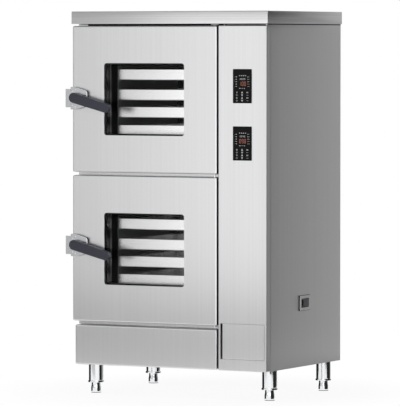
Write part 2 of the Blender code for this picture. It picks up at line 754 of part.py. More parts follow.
def make_latch(name, middle, door):
    """A door's latch: the D-shaped base on the door and the lever that turns on its spindle."""
    front = -(LATCH_BASE_THICKNESS + FIT)
    right = LEFT + LATCH_BASE_WIDTH
    base = new_object(f"{name}_latch_base", latch_base_mesh(front, right, middle), "chrome", door)
    cut(base, rod(
        (LATCH_PIVOT_X, front - OVERRUN, middle), (0, 1, 0), SPINDLE_RADIUS + SPINDLE_PLAY,
        LATCH_BASE_THICKNESS + 2 * OVERRUN,
    ))
    pivot = Vector((LATCH_PIVOT_X, 0, middle))
    lever_body = door.child(f"{name}_latch_axis", pivot)
    droop = Matrix.Rotation(LEVER_DROOP, 4, "Y")
    lever = new_object(
        f"{name}_latch_lever", lever_mesh(pivot), "lever_plastic", lever_body, droop, pivot,
    )
    join(lever, rod(
        (pivot.x, -(FIT + SHEET), pivot.z), (0, -1, 0), SPINDLE_RADIUS, LEVER_THICKNESS / 2 - LEVER_BACK - SHEET,
    ))


def latch_base_mesh(front, right, middle):
    """The D-shaped base: it narrows from its shoulders to its right end, and its front rim is eased."""
    half = LATCH_BASE_HEIGHT / 2
    nose = LATCH_BASE_NOSE_HEIGHT / 2
    shoulder = LEFT + LATCH_BASE_SHOULDER
    outline = (
        (LEFT, -half), (shoulder, -half), (right, -nose), (right, nose), (shoulder, half), (LEFT, half),
    )
    bm = plate([(x, middle + z) for x, z in outline], -FIT, front)
    rounds = {LEFT: LATCH_BASE_CORNER, shoulder: LATCH_BASE_SHOULDER_ROUND, right: LATCH_BASE_ROUND}
    for x, radius in rounds.items():
        edges = [e for e in bm.edges if is_along(e, 1) and abs(e.verts[0].co.x - x) < MERGE]
        round_edges(bm, edges, radius, CORNER_SEGMENTS)
    round_face_rim(bm, (0, -1, 0), LATCH_EDGE_RADIUS, FOLD_SEGMENTS)
    return bm


def plate(outline, back, front):
    """A flat plate from an outline of X and Z places, standing between two depths."""
    bm = bmesh.new()
    face = bm.faces.new([bm.verts.new((x, back, z)) for x, z in outline])
    grown = bmesh.ops.extrude_face_region(bm, geom=[face])["geom"]
    raised = [item for item in grown if isinstance(item, bmesh.types.BMVert)]
    bmesh.ops.translate(bm, vec=(0, front - back, 0), verts=raised)
    bmesh.ops.recalc_face_normals(bm, faces=bm.faces)
    return bm


def lever_mesh(pivot):
    """The lever: a tapered bar with a round nose and a round tip, eased along its front rim."""
    nose_radius = LEVER_ROOT_WIDTH / 2
    tip_radius = LEVER_TIP_WIDTH / 2
    ends = ((nose_radius - LEVER_NOSE, nose_radius, math.pi), (LEVER_REACH - tip_radius, tip_radius, 0.0))
    steps = 2 * CORNER_SEGMENTS
    outline = []
    for centre, radius, facing in ends:
        for step in range(steps + 1):
            angle = facing - math.pi / 2 + math.pi * step / steps
            outline.append((centre + radius * math.cos(angle), radius * math.sin(angle)))
    bm = plate([(pivot.x + x, pivot.z + z) for x, z in outline], LEVER_BACK, LEVER_FRONT)
    round_face_rim(bm, (0, -1, 0), LATCH_EDGE_RADIUS, FOLD_SEGMENTS)
    return bm


def make_keeper(name, middle):
    """A latch's keeper: a lip in front of the door's edge on a leg that jogs in to the side panel."""
    lip = LEFT - KEEPER_REACH
    leg = LEFT - KEEPER_CLEARANCE
    seat = LEFT - FIT
    jog = FRAME_Y + KEEPER_JOG
    path = (
        (seat, KEEPER_LEG), (seat, jog + KEEPER_JOG), (leg, jog), (leg, -KEEPER_FRONT), (lip, -KEEPER_FRONT),
    )
    half = KEEPER_HEIGHT / 2
    plan_strip(f"{name}_keeper", path, middle - half, middle + half, "chrome", wall=KEEPER_SHEET)


def make_hinge_brackets():
    """The arms that carry the doors' pivot pins, welded to the front frame above, between and below."""
    back = FRAME_Y - FIT
    right = COLUMN_LEFT - (COLUMN_GAP - BRACKET_OVERHANG)
    levels = {
        "top": (FRONT_TOP + CAP_GAP / 2, (-1,)),
        "middle": (LOWER_DOOR_BOTTOM + DOOR_HEIGHT + DOOR_GAP / 2, (-1, 1)),
        "bottom": (KICK_TOP + KICK_GAP / 2, (1,)),
    }
    for name, (z, pins) in levels.items():
        half = Vector((0, 0, BRACKET_THICKNESS / 2))
        low = Vector((right - BRACKET_WIDTH, PIVOT_DEPTH - BRACKET_INSET, z)) - half
        high = Vector((right, back, z)) + half
        bracket = new_object(f"{name}_hinge_bracket", block(low, high), "brushed_steel")
        for direction in pins:
            join(bracket, rod((PIVOT_X, PIVOT_DEPTH, z), (0, 0, direction), PIVOT_PIN_RADIUS, PIVOT_PIN_LENGTH))


def make_legs():
    """Four legs under the base pan, each with a foot that screws up and down in its bore."""
    across = BODY_WIDTH / 2 - LEG_INSET_X
    places = {
        "front_left": (-across, LEG_INSET_FRONT),
        "front_right": (across, LEG_INSET_FRONT),
        "back_left": (-across, BODY_DEPTH - LEG_INSET_BACK),
        "back_right": (across, BODY_DEPTH - LEG_INSET_BACK),
    }
    top = BODY_BOTTOM - FIT
    bore = FOOT_RADIUS + FOOT_PLAY
    lip_top = LEG_BOTTOM + LEG_LIP_HEIGHT
    leg_profile = (
        (0, top), (LEG_RADIUS, top), (LEG_RADIUS, lip_top), (LEG_LIP_RADIUS, lip_top),
        (LEG_LIP_RADIUS, LEG_BOTTOM), (bore, LEG_BOTTOM), (bore, top - LEG_ROOF), (0, top - LEG_ROOF),
    )
    foot_top = LEG_BOTTOM + FOOT_INSERTION
    foot_profile = (
        (0, foot_top), (FOOT_RADIUS, foot_top), (FOOT_RADIUS, LEG_BOTTOM),
        (FOOT_NECK_RADIUS, LEG_BOTTOM - FOOT_CHAMFER), (FOOT_NECK_RADIUS, LEG_BOTTOM - FOOT_TAPER_HEIGHT),
        (FOOT_RADIUS, LEG_BOTTOM - 2 * FOOT_TAPER_HEIGHT), (FOOT_RADIUS, FOOT_CHAMFER),
        (FOOT_RADIUS - FOOT_CHAMFER, 0), (0, 0),
    )
    for name, (x, y) in places.items():
        turned(f"leg_{name}", leg_profile, (x, y, 0), "chrome", CABINET, closed=False)
        body = CABINET.child(f"foot_{name}_axis", (x, y, 0))
        turned(f"foot_{name}", foot_profile, (x, y, 0), "chrome", body, closed=False)


def make_side_port():
    """The cable port on the right side: a framed box let into the panel, and the gland on its floor."""
    centre = Vector((RIGHT, PORT_Y, PORT_Z))
    half = Vector((0, PORT_WIDTH / 2, PORT_HEIGHT / 2))
    rim = Vector((0, PORT_RIM, PORT_RIM))
    proud = Vector((PORT_PROUD, 0, 0))
    frame = block(centre - half + Vector((FIT, 0, 0)), centre + half + proud, "X", PORT_RADIUS)
    port = new_object("side_port", frame, "brushed_steel")
    floor = Vector((PORT_DEPTH, 0, 0))
    join(port, block(centre - half + rim - floor, centre + half - rim + proud / 2))
    wall = Vector((0, SHEET, SHEET))
    sill = Vector((PORT_DEPTH - PORT_FLOOR, 0, 0))
    cut(port, block(centre - half + rim + wall - sill, centre + half - rim - wall + 2 * proud))
    gland_start = centre - sill + Vector((FIT, 0, 0))
    gland = new_object("cable_gland", rod(gland_start, (1, 0, 0), GLAND_RADIUS, GLAND_LENGTH), "black_plastic")
    join(gland, rod(gland_start, (1, 0, 0), GLAND_NUT_RADIUS, GLAND_NUT_LENGTH, NUT_SIDES))


def steam_heights():
    """The heights where steam enters each chamber."""
    lower_middle = LOWER_DOOR_BOTTOM + DOOR_HEIGHT / 2
    upper_middle = UPPER_DOOR_BOTTOM + DOOR_HEIGHT / 2
    return {"upper": upper_middle, "lower": lower_middle}


def duct_heights():
    """The heights where the exhaust duct opens into each chamber."""
    return {
        name: bottom + CHAMBER_MARGIN + CHAMBER_HEIGHT - VENT_DROP for name, bottom in DOOR_BOTTOMS.items()
    }


def vent_height():
    """The height of the exhaust stub on the back."""
    return duct_heights()["upper"]


def make_boiler():
    """The steam boiler: a turned shell with domed ends, a drain port and a steam port."""
    middle = (BOILER_BOTTOM + BOILER_TOP) / 2
    quarter = CORNER_SEGMENTS
    dome = [
        (BOILER_RADIUS * math.sin(math.pi / 2 * i / quarter), BOILER_DOME * math.cos(math.pi / 2 * i / quarter))
        for i in range(quarter + 1)
    ]
    shoulder = BOILER_HEIGHT / 2 - BOILER_DOME
    upper = [(r, middle + shoulder + h) for r, h in dome]
    lower = [(r, middle - shoulder - h) for r, h in reversed(dome)]
    boiler = turned(
        "steam_boiler", upper + lower, (COLUMN_MID, BOILER_Y, 0), "tray_steel", CABINET, closed=False,
    )
    thicken(boiler, BOILER_WALL)
    cut(boiler, rod(
        (COLUMN_MID, BOILER_Y, DRAIN_Z), (0, -1, 0), BOILER_PORT_RADIUS, BOILER_RADIUS + OVERRUN,
        SMALL_TURN_STEPS,
    ))


def make_steam_manifold():
    """The pipe from the boiler's top, with a flanged branch to each chamber."""
    heights = steam_heights()
    foot = BOILER_TOP + FIT
    riser = heights["upper"] - foot + PIPE_RADIUS
    manifold = new_object(
        "steam_manifold", rod((COLUMN_MID, BOILER_Y, foot), (0, 0, 1), PIPE_RADIUS, riser), "tray_steel",
    )
    start = CHAMBER_RIGHT + SHEET + FIT
    bore = PIPE_RADIUS - PIPE_WALL
    for z in heights.values():
        join(manifold, rod((start, BOILER_Y, z), (1, 0, 0), PIPE_RADIUS, COLUMN_MID - start))
        join(manifold, rod((start, BOILER_Y, z), (1, 0, 0), PIPE_FLANGE_RADIUS, PIPE_FLANGE_THICKNESS))
        cut(manifold, rod(
            (start - OVERRUN, BOILER_Y, z), (1, 0, 0), bore, OVERRUN + COLUMN_MID - start, SMALL_TURN_STEPS,
        ))


def make_drain():
    """The drain valve behind the flap, and the quarter-turn lever on its stem."""
    pipe_end = BOILER_Y - BOILER_RADIUS - FIT
    valve = new_object(
        "drain_valve",
        rod((COLUMN_MID, DRAIN_Y, DRAIN_Z), (0, 1, 0), PIPE_RADIUS, pipe_end - DRAIN_Y), "brass",
    )
    join(valve, rod((COLUMN_MID, DRAIN_Y, DRAIN_Z), (0, 1, 0), DRAIN_BODY_RADIUS, DRAIN_BODY_LENGTH, NUT_SIDES))
    spout_y = DRAIN_Y + DRAIN_BODY_LENGTH / 2
    join(valve, rod((COLUMN_MID, spout_y, DRAIN_Z), (0, 0, -1), PIPE_RADIUS, DRAIN_SPOUT_LENGTH))
    stem_y = DRAIN_Y - DRAIN_STEM_LENGTH
    join(valve, rod((COLUMN_MID, stem_y, DRAIN_Z), (0, 1, 0), DRAIN_STEM_RADIUS, 2 * DRAIN_STEM_LENGTH))
    pivot = Vector((COLUMN_MID, stem_y, DRAIN_Z))
    body = CABINET.child("drain_valve_lever_axis", pivot)
    half = DRAIN_LEVER_WIDTH / 2
    back = stem_y - FIT
    lever = block(
        (pivot.x - half, back - DRAIN_LEVER_THICKNESS, pivot.z - half),
        (pivot.x + half, back, pivot.z - half + DRAIN_LEVER_LENGTH), "Y", DRAIN_LEVER_ROUND,
    )
    new_object("drain_valve_lever", lever, "brass", body)


def make_water_inlet():
    """The feed connection through the back, with a nut outside, on its pipe to the boiler."""
    start = BOILER_Y + BOILER_RADIUS + FIT
    end = BODY_DEPTH + BACK_REACH
    inlet = new_object(
        "water_inlet", rod((COLUMN_MID, start, INLET_Z), (0, 1, 0), INLET_RADIUS, end - start), "brass",
    )
    join(inlet, rod(
        (COLUMN_MID, BODY_DEPTH + FIT, INLET_Z), (0, 1, 0), INLET_NUT_RADIUS, INLET_NUT_LENGTH, NUT_SIDES,
    ))


def make_exhaust_duct():
    """The duct behind the chambers that leads their spent steam to the stub on the back."""
    heights = duct_heights()
    half = DUCT_WIDTH / 2
    low = Vector((DOOR_MID - half, DUCT_FRONT, heights["lower"] - half))
    high = Vector((DOOR_MID + half, DUCT_FRONT + DUCT_DEPTH, heights["upper"] + half))
    duct = new_object("exhaust_duct", block(low, high), "tray_steel")
    middle = DUCT_FRONT + DUCT_DEPTH / 2
    end = BODY_DEPTH + BACK_REACH
    join(duct, rod((DOOR_MID, middle, vent_height()), (0, 1, 0), VENT_RADIUS, end - middle))
    join(duct, rod((DOOR_MID, BODY_DEPTH + FIT, vent_height()), (0, 1, 0), VENT_PLATE_RADIUS, SHEET))
    wall = Vector((VENT_WALL, VENT_WALL, VENT_WALL))
    cut(duct, block(low + wall, high - wall))
    start = DUCT_FRONT - OVERRUN
    for name, bored in (("lower", middle), ("upper", end + OVERRUN)):
        cut(duct, rod((DOOR_MID, start, heights[name]), (0, 1, 0), VENT_RADIUS - VENT_WALL, bored - start))


def build():
    """Make the whole cabinet."""
    make_top_cover()
    make_side_panels()
    make_back_panel()
    make_base_pan()
    make_front_frame()
    make_kick_panel()
    make_column()
    make_access_flap()
    for name, bottom in DOOR_BOTTOMS.items():
        make_chamber(name, bottom)
        make_rack(name, bottom)
        make_trays(name, bottom)
        make_door(name, bottom)
        make_keeper(name, bottom + DOOR_HEIGHT / 2 + LATCH_RISES[name])
    make_hinge_brackets()
    make_legs()
    make_side_port()
    make_boiler()
    make_steam_manifold()
    make_drain()
    make_water_inlet()
    make_exhaust_duct()


build()
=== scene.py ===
"""Looks of a two-chamber commercial steam cabinet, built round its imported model.

+X is the cabinet's right, +Y its back and +Z up; lengths are in metres, and the floor is at Z = 0.
Names that end in _mm hold millimetres, and profiles are written in millimetres too.
"""

import json
import logging
import math
from dataclasses import dataclass
from enum import Enum
from functools import cache
from typing import Iterable, Iterator, Mapping, Sequence

import bmesh
import bpy
from mathutils import Matrix, Vector


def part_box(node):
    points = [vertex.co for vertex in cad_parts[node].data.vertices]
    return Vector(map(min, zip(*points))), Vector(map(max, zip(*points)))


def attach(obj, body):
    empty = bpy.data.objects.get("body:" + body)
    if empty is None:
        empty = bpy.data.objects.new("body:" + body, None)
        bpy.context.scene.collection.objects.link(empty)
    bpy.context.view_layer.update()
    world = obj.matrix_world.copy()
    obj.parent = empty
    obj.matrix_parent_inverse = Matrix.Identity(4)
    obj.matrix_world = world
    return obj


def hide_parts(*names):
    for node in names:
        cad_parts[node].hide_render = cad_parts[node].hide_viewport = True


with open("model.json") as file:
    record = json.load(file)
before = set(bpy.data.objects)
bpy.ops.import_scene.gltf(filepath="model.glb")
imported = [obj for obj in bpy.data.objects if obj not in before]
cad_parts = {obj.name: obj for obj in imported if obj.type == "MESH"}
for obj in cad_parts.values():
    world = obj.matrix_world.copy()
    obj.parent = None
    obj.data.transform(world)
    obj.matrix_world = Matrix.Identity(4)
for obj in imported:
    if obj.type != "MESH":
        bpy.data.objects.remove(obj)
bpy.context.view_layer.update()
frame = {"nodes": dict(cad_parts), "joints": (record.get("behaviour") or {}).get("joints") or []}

LOG = logging.getLogger("steam_cabinet")
MM = 0.001
BITE = 0.05 * MM  # how far a strip or a plate sinks into what it lies on
CABINET = "cabinet"
NUMBERS = {"upper": ("0030", "100"), "lower": ("0045", "098")}
RIGHT, BACK, FRONT, UP, DOWN = (1, 0, 0), (0, 1, 0), (0, -1, 0), (0, 0, 1), (0, 0, -1)
WHITE = (1.0, 1.0, 1.0, 1.0)

Mesh = bmesh.types.BMesh
Pair = tuple[float, float]
Point = Sequence[float]
Node = bpy.types.Node
Socket = bpy.types.NodeSocket
Tree = bpy.types.NodeTree
Values = Mapping[str | int, object]
Links = Mapping[str | int, Socket]


def linear(hex_colour: str, share: float = 1.0) -> tuple[float, float, float, float]:
    """Turn an sRGB hex colour into linear light.

    Args:
        hex_colour: The colour as "#rrggbb".
        share: The share of the light that is kept, or more than 1 for a paler colour.

    Returns:
        Red, green, blue and an alpha of one.
    """
    parts = [int(hex_colour[i:i + 2], 16) / 255 for i in (1, 3, 5)]
    light = [p / 12.92 if p <= 0.04045 else ((p + 0.055) / 1.055) ** 2.4 for p in parts]
    return (*(min(1.0, c * share) for c in light), 1.0)


def wire(tree: Tree, node: Node, settings: Values | None = None, links: Links | None = None) -> Node:
    """Give a shader node its settings and its incoming links.

    Args:
        tree: The node tree.
        node: The node.
        settings: Values by input name or number, or else by the node's own attribute.
        links: Output sockets by the input name or number that they feed.

    Returns:
        The same node.
    """
    for key, value in (settings or {}).items():
        if isinstance(key, int) or key in node.inputs:
            node.inputs[key].default_value = value
        else:
            setattr(node, key, value)
    for key, socket in (links or {}).items():
        tree.links.new(socket, node.inputs[key])
    return node


def add_node(tree: Tree, kind: str, settings: Values | None = None, links: Links | None = None) -> Node:
    """Add a shader node; the settings and links are those of wire()."""
    return wire(tree, tree.nodes.new(kind), settings, links)


def noise(tree: Tree, place: Socket, size_mm: float, detail: float = 2.0, roughness: float = 0.5) -> Socket:
    """Add clouds of a real size, with the number and strength of their finer layers."""
    settings = {"Scale": 1 / (size_mm * MM), "Detail": detail, "Roughness": roughness}
    return add_node(tree, "ShaderNodeTexNoise", settings, {"Vector": place}).outputs["Fac"]


def ranged(tree: Tree, value: Socket, to: Pair, start: Pair = (0.0, 1.0), smooth: bool = False) -> Socket:
    """Add a change from a starting range of values to another one, with soft ends if it is smooth."""
    settings = {
        "interpolation_type": "SMOOTHSTEP" if smooth else "LINEAR",
        "From Min": start[0], "From Max": start[1], "To Min": to[0], "To Max": to[1],
    }
    return add_node(tree, "ShaderNodeMapRange", settings, {"Value": value}).outputs["Result"]


def combined(tree: Tree, operation: str, first: Socket, second: Socket) -> Socket:
    """Add a sum of two values, of the operation that is named."""
    return add_node(
        tree, "ShaderNodeMath", {"operation": operation}, {0: first, 1: second},
    ).outputs["Value"]


def blend(tree: Tree, share: Socket, first: Point, second: Point) -> Socket:
    """Add a colour between two others."""
    return add_node(
        tree, "ShaderNodeMix", {"data_type": "RGBA", 6: first, 7: second}, {"Factor": share},
    ).outputs[2]


def bump(tree: Tree, height: Socket, strength: float, depth_mm: float) -> Socket:
    """Add a fine relief, and give the normals that show it."""
    return add_node(
        tree, "ShaderNodeBump", {"Strength": strength, "Distance": depth_mm * MM}, {"Height": height},
    ).outputs["Normal"]


@dataclass(frozen=True)
class Surface:
    """What every finish has.

    Attributes:
        name: The finish's name.
        slot: The record's slot for it; not used.
        colour: Its colour.
        roughness: The middle of its roughness.
    """

    name: str
    slot: str
    colour: str
    roughness: float

    def build(self) -> bpy.types.Material:
        """Make the material.

        Returns:
            The material.
        """
        material = bpy.data.materials.new(self.name)
        material.use_nodes = True
        tree = material.node_tree
        values, links = self.inputs(tree, add_node(tree, "ShaderNodeTexCoord").outputs["Object"])
        wire(tree, tree.nodes["Principled BSDF"], {"Roughness": self.roughness} | values, links)
        return material

    def inputs(self, tree: Tree, place: Socket) -> tuple[dict[str, float], dict[str, Socket]]:
        """Make what feeds the shader.

        Args:
            tree: The material's nodes.
            place: The coordinates in the object's own space.

        Returns:
            The shader's plain values, and the sockets that feed it, by input name.
        """
        raise NotImplementedError


class Grain(Enum):
    """The direction in which a sheet was brushed, as the stretch of its pattern on X, Y and Z."""

    UPRIGHT = (1.0, 1.0, 0.006)
    CROSSWISE = (0.006, 0.006, 1.0)


@dataclass(frozen=True)
class BrushedSteel(Surface):
    """Stainless 304 sheet, belt-brushed.

    Fine parallel scratches spread its reflections across the grain and leave them sharper along it,
    and the belt's passes show as faint lighter and darker streaks.

    Attributes:
        grain: The direction of the brushing.
        scratch_mm: The spacing of the scratches, drawn about five times as coarse as real ones.
        streak_mm: The width of the streaks.
        streak: The share by which the streaks change the colour.
        stretched: How far the reflections spread across the grain, from 0 to 1.
        hollow_shade: The share of the colour that is left in a piece's own hollows, where painted shade
            darkens it.
        uneven: How far the scratches change the roughness, up and down.
        scratch_depth: The strength of the scratches' relief, and its depth in millimetres.
        hollow_shade_mm: How far off the walls still count for that painted shade.
    """

    grain: Grain = Grain.UPRIGHT
    scratch_mm: float = 0.8
    streak_mm: float = 9.0
    streak: float = 0.05
    stretched: float = 0.8
    hollow_shade: float = 1.0
    uneven: float = 0.04
    scratch_depth: Pair = (0.12, 0.03)
    hollow_shade_mm: float = 60.0

    def inputs(self, tree: Tree, place: Socket) -> tuple[dict[str, float], dict[str, Socket]]:
        """Make the brushing: scratches, streaks and the stretch of the reflections."""
        along = add_node(tree, "ShaderNodeMapping", {"Scale": self.grain.value}, {"Vector": place})
        scratches = noise(tree, along.outputs["Vector"], self.scratch_mm, 3.0, 0.6)
        streaks = noise(tree, along.outputs["Vector"], self.streak_mm)
        dark, light = (linear(self.colour, 1 + change) for change in (-self.streak, self.streak))
        colour = blend(tree, streaks, dark, light)
        # Painted shade: the colour darkens in the piece's own hollows.
        if self.hollow_shade < 1:
            colour = self.shaded_in_hollows(tree, colour)
        axis = "Z" if self.grain is Grain.UPRIGHT else "X"
        across = add_node(tree, "ShaderNodeTangent", {"direction_type": "RADIAL", "axis": axis})
        smooth, rough = self.roughness - self.uneven, self.roughness + self.uneven
        return {"Metallic": 1.0, "Anisotropic": self.stretched}, {
            "Base Color": colour,
            "Roughness": ranged(tree, scratches, (smooth, rough)),
            "Normal": bump(tree, scratches, *self.scratch_depth),
            "Tangent": across.outputs["Tangent"],
        }

    def shaded_in_hollows(self, tree: Tree, colour: Socket) -> Socket:
        """Paint shade into the piece's own hollows, such as the inside of a pan, by darkening the colour
        where ambient occlusion finds walls close by.

        Args:
            tree: The material's nodes.
            colour: The plain colour.

        Returns:
            The colour with its painted shade.
        """
        settings = {"only_local": True, "samples": 8, "Distance": self.hollow_shade_mm * MM}
        opening = add_node(tree, "ShaderNodeAmbientOcclusion", settings).outputs["AO"]
        left = ranged(tree, opening, (self.hollow_shade, 1.0), (0.6, 0.95))
        return add_node(
            tree, "ShaderNodeVectorMath", {"operation": "SCALE"}, {0: colour, "Scale": left},
        ).outputs["Vector"]


@dataclass(frozen=True)
class PolishedMetal(Surface):
    """Bright chrome plate or machined brass: smooth, with faint cloudy marks from handling.

    Attributes:
        cloud_mm: The size of the cloudy marks.
        uneven: The share by which they change the roughness.
    """

    cloud_mm: float = 12.0
    uneven: float = 0.3

    def inputs(self, tree: Tree, place: Socket) -> tuple[dict[str, float], dict[str, Socket]]:
        """Make the cloudy marks."""
        clouds = noise(tree, place, self.cloud_mm, 4.0)
        smooth, rough = self.roughness * (1 - self.uneven), self.roughness * (1 + self.uneven)
        return {"Base Color": linear(self.colour), "Metallic": 1.0}, {
            "Roughness": ranged(tree, clouds, (smooth, rough)), "Normal": bump(tree, clouds, 0.02, 0.1),
        }


@dataclass(frozen=True)
class MouldedPlastic(Surface):
    """Moulded nylon, acrylic or rubber: a fine spark-eroded texture with a soft sheen.

    Attributes:
        grain_mm: The size of the mould's texture.
        relief: The strength of that texture.
        sheen: The level of its mirror reflection, 0.5 for plain plastic and less behind a matt varnish.
        pale: How much lighter its palest grains are.
    """

    grain_mm: float = 0.9
    relief: float = 0.15
    sheen: float = 0.5
    pale: float = 1.25

    def inputs(self, tree: Tree, place: Socket) -> tuple[dict[str, float], dict[str, Socket]]:
        """Make the mould's texture."""
        grain = noise(tree, place, self.grain_mm)
        return {"Specular IOR Level": self.sheen}, {
            "Base Color": blend(tree, grain, linear(self.colour), linear(self.colour, self.pale)),
            "Normal": bump(tree, grain, self.relief, 0.05),
        }


@dataclass(frozen=True)
class ClearGlass(Surface):
    """Tempered glass, four millimetres thick.

    Attributes:
        ior: Its refraction, lower than real glass so that its two faces mirror as faintly as in the photo.
        wave_mm: The size of the waves that tempering leaves.
    """

    ior: float = 1.13
    wave_mm: float = 80.0

    def inputs(self, tree: Tree, place: Socket) -> tuple[dict[str, float], dict[str, Socket]]:
        """Make the clear body and its faint waves."""
        values = {"Base Color": linear(self.colour), "IOR": self.ior, "Transmission Weight": 1.0}
        return values, {"Normal": bump(tree, noise(tree, place, self.wave_mm), 0.01, 0.2)}


@dataclass(frozen=True)
class LitSegment(Surface):
    """A lit display segment or indicator lamp behind a tinted face.

    Attributes:
        strength: The light's strength.
        spot_mm: The size of its brighter spots.
        dim: The share of the light between those spots.
    """

    strength: float
    spot_mm: float = 2.5
    dim: float = 0.8

    def inputs(self, tree: Tree, place: Socket) -> tuple[dict[str, float], dict[str, Socket]]:
        """Make the light and its spots."""
        spots = noise(tree, place, self.spot_mm)
        colour = blend(tree, spots, linear(self.colour, self.dim), linear(self.colour))
        return {"Emission Strength": self.strength}, {"Base Color": colour, "Emission Color": colour}


class Finish(Enum):
    """The cabinet's finishes."""

    DOOR_STEEL = BrushedSteel("brushed_door_steel", "brushed_steel", "#dadadb", 0.30)
    SIDE_STEEL = BrushedSteel("brushed_side_steel", "side_steel", "#dcdcdd", 0.32)
    CAP_STEEL = BrushedSteel(
        "brushed_cap_steel", "brushed_steel", "#e6e6e7", 0.30, Grain.CROSSWISE, streak_mm=5.0, streak=0.16,
    )
    # Painted shade: a darker grey steel for the top hinge bracket in the gap under the cap and for the cup in
    # the side port's recess.
    SHADED_GREY_STEEL = BrushedSteel("shade_darkened_grey_steel", "brushed_steel", "#949597", 0.35)
    # The trays' insides are darkened with painted shade in their hollows.
    TRAY_STEEL = BrushedSteel(
        "bright_tray_steel", "tray_steel", "#fcfcfc", 0.24, Grain.CROSSWISE, stretched=0.3, hollow_shade=0.45,
    )
    # Painted shade: the chamber's steel is dark grey for the shade inside the closed chamber.
    SHADED_CHAMBER_STEEL = BrushedSteel("shade_darkened_chamber_steel", "dark_steel", "#343637", 0.50)
    RACK_STEEL = BrushedSteel("grey_rack_steel", "dark_steel", "#7c7e80", 0.40)
    CHROME = PolishedMetal("bright_chrome", "chrome", "#f2f3f5", 0.10)
    CAST_CHROME = PolishedMetal("satin_cast_chrome", "chrome", "#e2e3e6", 0.22)
    BRASS = PolishedMetal("machined_brass", "brass", "#c9a75c", 0.30)
    LEVER_NYLON = MouldedPlastic("grey_blue_nylon", "lever_plastic", "#33353f", 0.42, sheen=0.4)
    FACE_ACRYLIC = MouldedPlastic(
        "black_face_acrylic", "controller_black", "#0a0a0b", 0.15, grain_mm=3.0, relief=0.01, sheen=0.10,
    )
    FRAME_ABS = MouldedPlastic("black_frame_abs", "black_plastic", "#0c0c0d", 0.35, sheen=0.15)
    SEAL_RUBBER = MouldedPlastic("black_seal_rubber", "black_rubber", "#0e0e0e", 0.65)
    KEY_PRINT = MouldedPlastic("grey_key_print", "controller_black", "#c8cacc", 0.45)
    GLASS = ClearGlass("clear_tempered_glass", "glass", "#fefefe", 0.0)
    RED_SEGMENT = LitSegment("red_display_segment", "controller_black", "#b46d5d", 0.5, 0.36)
    GREY_SEGMENT = LitSegment("grey_display_segment", "controller_black", "#b9bcc0", 0.5, 0.45)


@cache
def paint(finish: Finish) -> bpy.types.Material:
    """Give a finish's material, built on its first use."""
    return finish.value.build()


def mm(*pairs: Pair) -> list[Pair]:
    """Turn pairs of millimetres into metres."""
    return [(first * MM, second * MM) for first, second in pairs]


def ease(bm: Mesh, edges: Iterable[bmesh.types.BMEdge], width_mm: float, segments: int = 3) -> None:
    """Round edges of a mesh by a width, with a number of facets."""
    bmesh.ops.bevel(
        bm, geom=list(edges), offset=width_mm * MM, offset_type="OFFSET", segments=segments, profile=0.5,
        affect="EDGES", clamp_overlap=True, material=-1,
    )


def slab(low: Point, high: Point) -> Mesh:
    """Make a box between two corners.

    Args:
        low: The lowest corner.
        high: The highest corner.

    Returns:
        The mesh.
    """
    bm = bmesh.new()
    bmesh.ops.create_cube(bm, size=1.0)
    low, high = Vector(low), Vector(high)
    bmesh.ops.scale(bm, vec=high - low, verts=bm.verts)
    bmesh.ops.translate(bm, vec=(low + high) / 2, verts=bm.verts)
    return bm


def edges_along(bm: Mesh, axis: int) -> list[bmesh.types.BMEdge]:
    """Find the edges that run along an axis: 0 for X, 1 for Y and 2 for Z."""
    runs = [(edge, edge.verts[1].co - edge.verts[0].co) for edge in bm.edges]
    return [edge for edge, run in runs if run.length and abs(run[axis]) > 0.999 * run.length]


def joined(parts: Iterable[Mesh]) -> Mesh:
    """Gather meshes into one, and free them.

    Args:
        parts: The meshes.

    Returns:
        The new mesh.
    """
    whole = bmesh.new()
    for part in parts:
        held = bpy.data.meshes.new("held")
        part.to_mesh(held)
        part.free()
        whole.from_mesh(held)
        bpy.data.meshes.remove(held)
    return whole


def outline_plate(outline: Iterable[Pair], back: float, front: float) -> Mesh:
    """Make a flat plate from an outline of X and Z places.

    Args:
        outline: The outline's corners, in order.
        back: The depth of its back face.
        front: The depth of its front face.

    Returns:
        The mesh.
    """
    bm = bmesh.new()
    face = bm.faces.new([bm.verts.new((x, back, z)) for x, z in outline])
    grown = bmesh.ops.extrude_face_region(bm, geom=[face])["geom"]
    raised = [item for item in grown if isinstance(item, bmesh.types.BMVert)]
    bmesh.ops.translate(bm, vec=(0, front - back, 0), verts=raised)
    bmesh.ops.recalc_face_normals(bm, faces=bm.faces)
    return bm


def front_face(bm: Mesh) -> bmesh.types.BMFace:
    """Find the large face that looks to the front."""
    bm.normal_update()
    return max(bm.faces, key=lambda face: -face.normal.y * face.calc_area())


def turned_mesh(profile: Sequence[Pair], centre: Point, axis: Point = UP, steps: int = 64) -> Mesh:
    """Turn a profile about an axis, as on a lathe.

    Args:
        profile: Radius and height pairs in millimetres; the height runs along the axis.
        centre: The point on the axis where the height is zero.
        axis: The axis.
        steps: The number of facets round it.

    Returns:
        The mesh.
    """
    bm = bmesh.new()
    points = [bm.verts.new((r, 0, h)) for r, h in mm(*profile)]
    edges = [bm.edges.new(pair) for pair in zip(points, points[1:])]
    bmesh.ops.spin(
        bm, geom=points + edges, cent=(0, 0, 0), axis=UP, dvec=(0, 0, 0), angle=math.tau,
        steps=steps, use_merge=True, use_normal_flip=False, use_duplicate=False,
    )
    bmesh.ops.remove_doubles(bm, verts=bm.verts, dist=0.001 * MM)
    bmesh.ops.recalc_face_normals(bm, faces=bm.faces)
    turn = Vector(UP).rotation_difference(Vector(axis)).to_matrix()
    bmesh.ops.rotate(bm, cent=(0, 0, 0), matrix=turn, verts=bm.verts)
    bmesh.ops.translate(bm, vec=centre, verts=bm.verts)
    return bm


